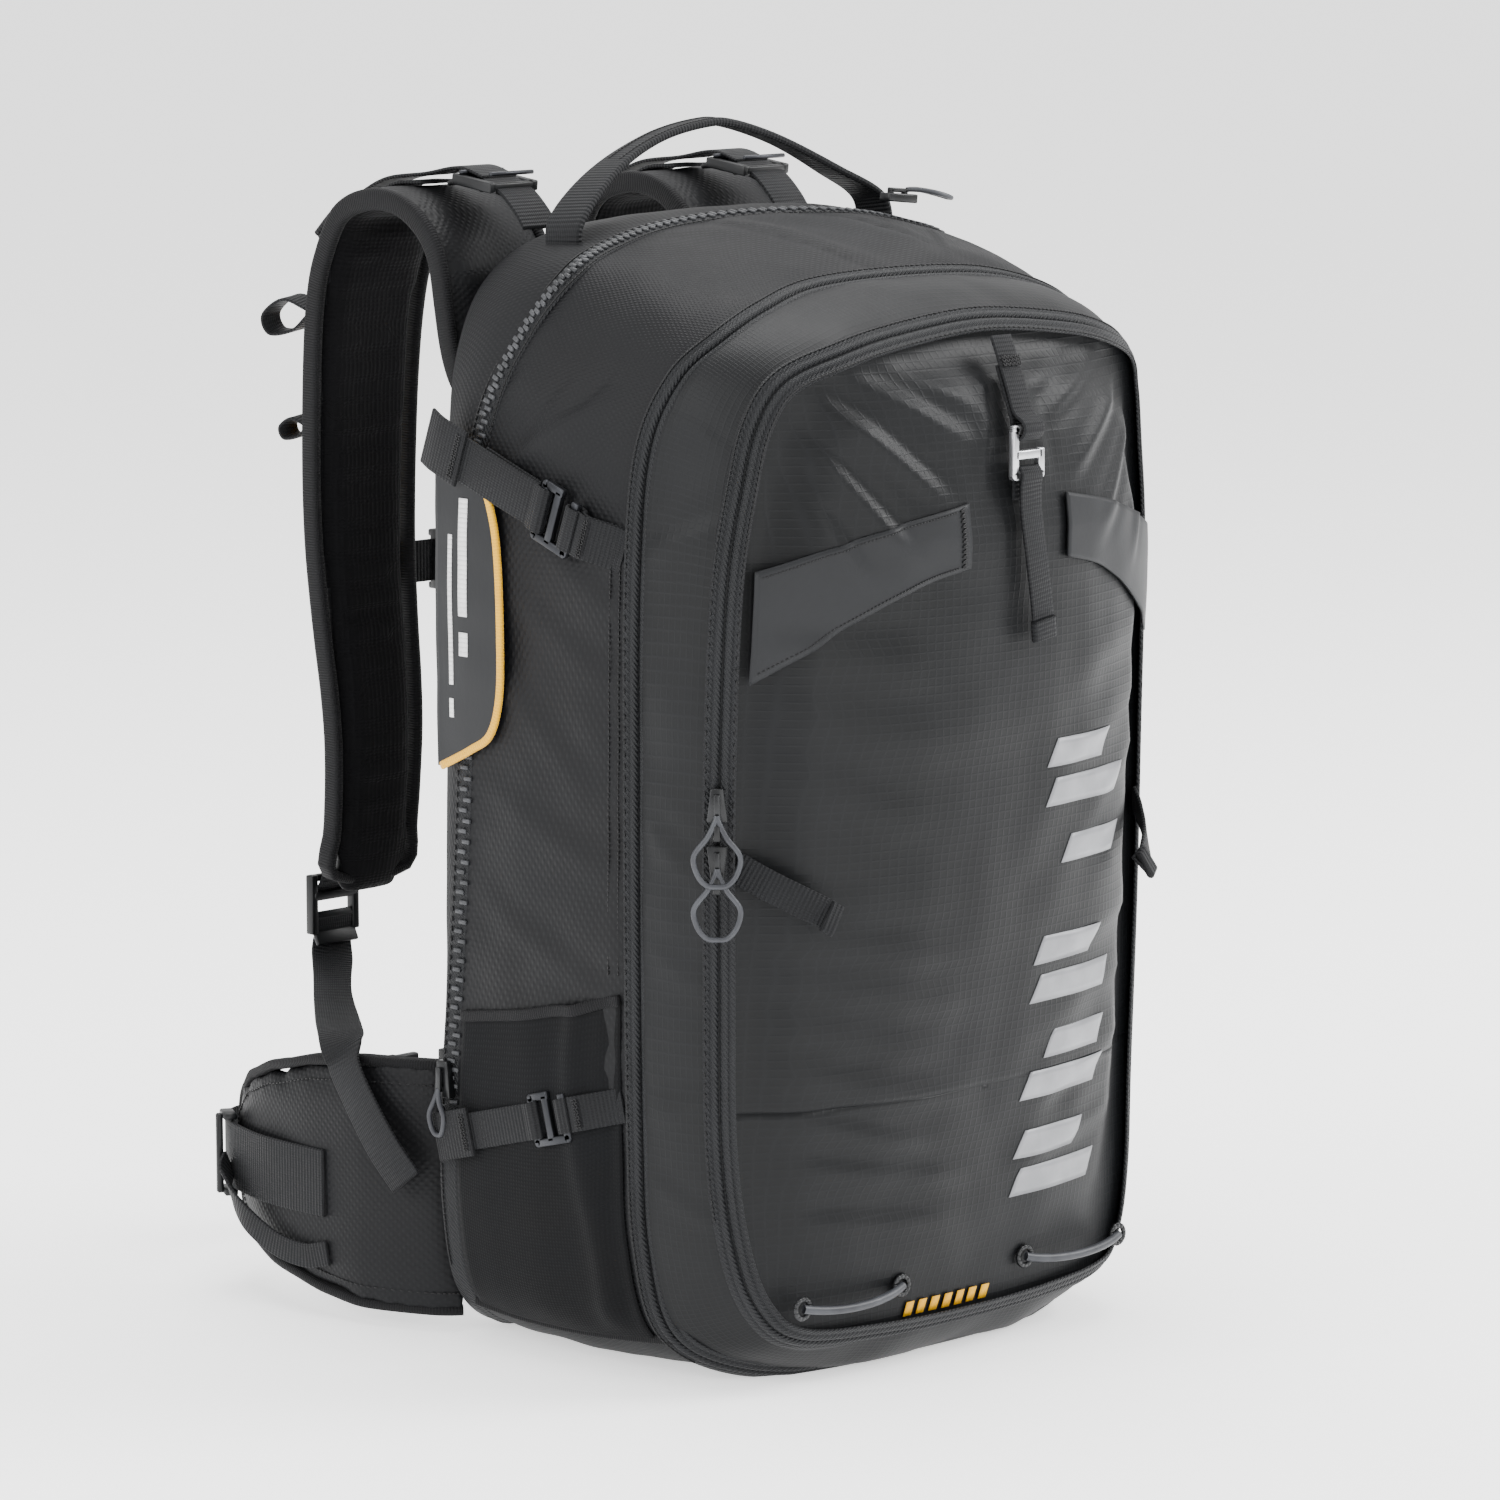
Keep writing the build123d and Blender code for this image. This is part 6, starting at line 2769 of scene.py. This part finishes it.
        # two hanging legs, the bar over them and the turned corners
        for x, z, wide, tall, turn in (
            (-107, 268, 33, 232, 0), (107, 268, 33, 232, 0), (0, 428, 190, 38, 0),
            (-96, 404, 35, 78, 0.7), (96, 404, 35, 78, -0.7),
        ):
            add_box(bm, (x, mid_y, z), (wide, deep, tall), turn)
        piece = finish_mesh(bm, "folded_airbag_cloth", f.airbag)
        Padding(voxel=5.0, swell=1.6).fill(piece, f.airbag)
        for vert in piece.data.vertices:
            p = vert.co / MM
            run = p.z if abs(p.x) > 92 else 400 + abs(p.x)
            fold = math.exp(-(((run + 0.12 * p.x) % 19.0 - 9.5) / 2.4) ** 2)
            vert.co.y -= (p.y - mid_y) * 0.16 * fold * MM
        chart(piece, lambda p: (p.x * MM + p.y * MM, p.z * MM))
        soften(piece)
        settle(piece, "pack", "airbag_cloth", "airbag_packet")

    def map_pocket(self) -> None:
        """Make the flat zipped pocket on the divider's inner face."""
        f = self.finishes
        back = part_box("tool_divider")[1][1] / MM + 0.3

        def place(u: float, v: float) -> Vector:
            """Point of the sheet for its two shares."""
            bulge = 4.0 * math.sin(math.pi * u) ** 0.5 * math.sin(math.pi * v) ** 0.5
            soft = 0.8 * noise.noise(Vector((u * 4, v * 5, 2.0))) * math.sin(math.pi * v)
            return Vector((-88 + 176 * u, back + bulge + soft, 150 + 205 * v))

        piece = grid_sheet(
            "map_pocket", (40, 40), place, f.stretch, (176, 205), outward=Vector((0, -200, 250))
        )
        thicken(piece, 1.2)
        settle(piece, "front_section", "lining")
        rim = [place(k / 10, 1.0) for k in range(11)] + [place(1.0, 1 - k / 10) for k in range(1, 11)]
        rim += [place(1 - k / 10, 0.0) for k in range(1, 11)] + [place(0.0, k / 10) for k in range(1, 11)]
        line = rail(rim, [Vector((0, 1, 0))] * len(rim), 160)
        settle(
            swept("map_pocket_binding", line, outline_box(7.0, 2.0, 0.9, 2), f.binding), "front_section",
            "lining"
        )
        tape = [Vector((-80 + 16 * k, back + 4.4, 332)) for k in range(11)]
        settle(
            swept(
                "map_pocket_zip", rail(tape, [Vector((0, 1, 0))] * 11, 60), outline_box(11.0, 1.8, 0.8, 2),
                f.tape
            ),
            "front_section", "zip_tape"
        )
        places = [
            placed(
                Vector((-79 + 2.6 * k, back + 5.6, 332)), Vector((1, 0, 0)), Vector((0, 0, 1)),
                (1.5, 3.6, 1.0)
            )
            for k in range(61)
        ]
        settle(blocks("map_pocket_zip_coil", places, f.teeth), "front_section", "zip_tape")

    def hardware(self) -> None:
        """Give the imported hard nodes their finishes."""
        f = self.finishes
        table = {
            "frame_sheet": f.sheet, "frame_stay": f.bright_metal, "gas_bottle": f.bottle,
            "inflation_head": f.dark_metal, "trigger_cable": f.cord, "tool_divider": f.lining,
            "trigger_handle": f.grip,
        }
        for node, finish in table.items():
            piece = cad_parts[node]
            for slot in piece.material_slots:
                slot.material = finish
            LOG.info("%s finished", node)

    def build(self) -> None:
        """Make every small part."""
        self.sliders()
        self.handle()
        for side in Side:
            self.flank(side)
        self.back_pad()
        self.sleeves()
        self.packet()
        self.map_pocket()
        self.hardware()


@dataclass
class SideReleaseBuckle:
    """Moulded two-part buckle: a hollow body with open sides and a three-pronged insert."""

    name: str
    at: Vector
    width: float
    length: float
    thick: float
    reach: float
    finishes: Finishes

    def female(self, body: str, node: str) -> None:
        """Make the body with its ribbed top and webbing bar.

        Args:
            body: Body it rides on.
            node: CAD node it stands for.
        """
        half, w, t = self.length / 2, self.width, self.thick
        bm = bmesh.new()
        for x, y, sx, sy, sz in (
            (0, t * 0.34, self.length, t * 0.3, w), (0, -t * 0.34, self.length, t * 0.3, w),
            (-half + 1.6, 0, 3.2, t, w), (-half - 4.5, 0, 2.6, t * 0.6, w), (half * 0.1, 0, 3, t * 0.7, 3),
        ):
            add_box(bm, (x, y, 0), (sx, sy, sz))
        for s in (-1, 1):
            for x, sx in ((-half * 0.62, half * 0.7), (half * 0.78, half * 0.42), (-half - 2.5, 6.5)):
                add_box(bm, (x, 0, s * (w / 2 - 1.6)), (sx, t * 0.9, 3.2))
        for k in range(5):
            add_box(bm, (half * 0.1 + 2.2 * k, t * 0.5, 0), (1.0, 0.7, w * 0.5))
        self.finish(bm, "body", body, node)

    def male(self, body: str, node: str) -> None:
        """Make the insert with its two spring prongs and guide.

        Args:
            body: Body it rides on.
            node: CAD node it stands for.
        """
        w, t, n = self.width, self.thick, self.reach / 1.28
        bm = bmesh.new()
        for x, z, sx, sy, sz in (
            (n * 0.9, 0, 4.5, t * 0.8, w * 0.94), (n * 1.28, 0, 2.6, t * 0.55, w * 0.9),
            (n * 0.5, 0, n * 0.75, t * 0.3, w * 0.12),
            (n * 1.1, w * 0.44, n * 0.42, t * 0.7, 3.0), (n * 1.1, -w * 0.44, n * 0.42, t * 0.7, 3.0),
        ):
            add_box(bm, (x, 0, z), (sx, sy, sz))
        for s in (-1, 1):
            add_box(bm, (n * 0.55, 0, s * w * 0.36), (n * 0.7, t * 0.3, 3.2), s * 0.14)
            add_box(bm, (n * 0.36, 0, s * w * 0.45), (n * 0.3, t * 0.34, 5.0))
        self.finish(bm, "insert", body, node)

    def finish(self, bm: bmesh.types.BMesh, part: str, body: str, node: str) -> None:
        """Round the edges, place the part and book it.

        Args:
            bm: Mesh in the buckle's own axes.
            part: Word for its name.
            body: Body it rides on.
            node: CAD node it stands for.
        """
        round_edges(bm, 0.8, 2)
        bmesh.ops.translate(bm, verts=bm.verts, vec=self.at)
        settle(
            finish_mesh(bm, f"{self.name}_buckle_{part}", self.finishes.acetal), body, "buckle_plastic",
            node
        )


# ------------------------------------------------------------------ scene


@dataclass
class Studio:
    """Pale floor, soft lights and the camera."""

    target: tuple[float, float, float] = (0.0, -0.010, 0.250)
    distance: float = 2.83
    azimuth: float = -45.0
    elevation: float = 9.0

    def camera(self) -> None:
        """Make the camera."""
        az, el = math.radians(self.azimuth), math.radians(self.elevation)
        away = Vector((math.sin(az) * math.cos(el), -math.cos(az) * math.cos(el), math.sin(el)))
        data = bpy.data.cameras.new("camera")
        data.lens = 157.5
        data.sensor_width = 36.0
        data.shift_x = -0.050
        data.shift_y = 0.0045
        cam = bpy.data.objects.new("camera", data)
        cam.location = Vector(self.target) + away * self.distance
        cam.rotation_euler = (Vector(self.target) - cam.location).to_track_quat("-Z", "Y").to_euler()
        bpy.context.scene.collection.objects.link(cam)
        bpy.context.scene.camera = cam

    def light(self, name: str, at: tuple[float, float, float], size: float, power: float) -> None:
        """Add a soft area light that looks at the pack.

        Args:
            name: Name.
            at: Position in metres.
            size: Side in metres.
            power: Watts.
        """
        data = bpy.data.lights.new(name, "AREA")
        data.shape = "SQUARE"
        data.size = size
        data.energy = power
        lamp = bpy.data.objects.new(name, data)
        lamp.location = at
        lamp.rotation_euler = (Vector((0, 0, 0.25)) - Vector(at)).to_track_quat("-Z", "Y").to_euler()
        bpy.context.scene.collection.objects.link(lamp)

    def build(self) -> None:
        """Make the floor, the lights, the world and the camera."""
        self.camera()
        bm = bmesh.new()
        bmesh.ops.create_grid(bm, x_segments=2, y_segments=2, size=60000.0)
        bmesh.ops.translate(bm, verts=bm.verts, vec=(0, 0, -0.5))
        floor = finish_mesh(
            bm, "studio_floor", Hard("matt_paper", "fbfbfb", "fdfdfd", 0.95, relief=0.0).build()
        )
        shine = next(n for n in floor.active_material.node_tree.nodes if n.type == "BSDF_PRINCIPLED")
        shine.inputs["Emission Color"].default_value = (1.0, 1.0, 1.0, 1.0)
        shine.inputs["Emission Strength"].default_value = 0.9
        self.light("key", (1.9, -1.5, 1.9), 1.3, 95.0)
        self.light("front_fill", (-0.9, -2.6, 0.9), 1.6, 26.0)
        self.light("left_rim", (-2.2, 0.5, 1.2), 1.2, 34.0)
        self.light("top", (0.2, 0.3, 2.4), 1.6, 62.0)
        world = bpy.data.worlds.new("studio")
        world.use_nodes = True
        world.node_tree.nodes["Background"].inputs["Color"].default_value = (1.0, 1.0, 1.0, 1.0)
        world.node_tree.nodes["Background"].inputs["Strength"].default_value = 1.25
        bpy.context.scene.world = world


def main() -> None:
    """Build the scene in order."""
    Studio().build()
    finishes = Finishes()
    shell = Shell(finishes)
    shell.build()
    for side in Side:
        SideStraps(side, finishes).build()
    BurstFlap(finishes).build()
    ShoulderStraps(finishes).build()
    HipBelt(finishes).build()
    FrontDetails(finishes, FrontPanel()).build()
    chest = SideReleaseBuckle("sternum", Vector((-9, 213.4, 318)), 27, 22, 9.5, 31, finishes)
    chest.female("strap_left", "sternum_female")
    chest.male("sternum_tail", "sternum_male")
    waist = SideReleaseBuckle("hip", Vector((-22, 262, 60)), 40, 32, 11.5, 64, finishes)
    waist.female("belt_left", "hip_female")
    waist.male("belt_right", "hip_male")
    SmallParts(finishes, shell).build()
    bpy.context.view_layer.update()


if __name__ == "__main__":
    main()
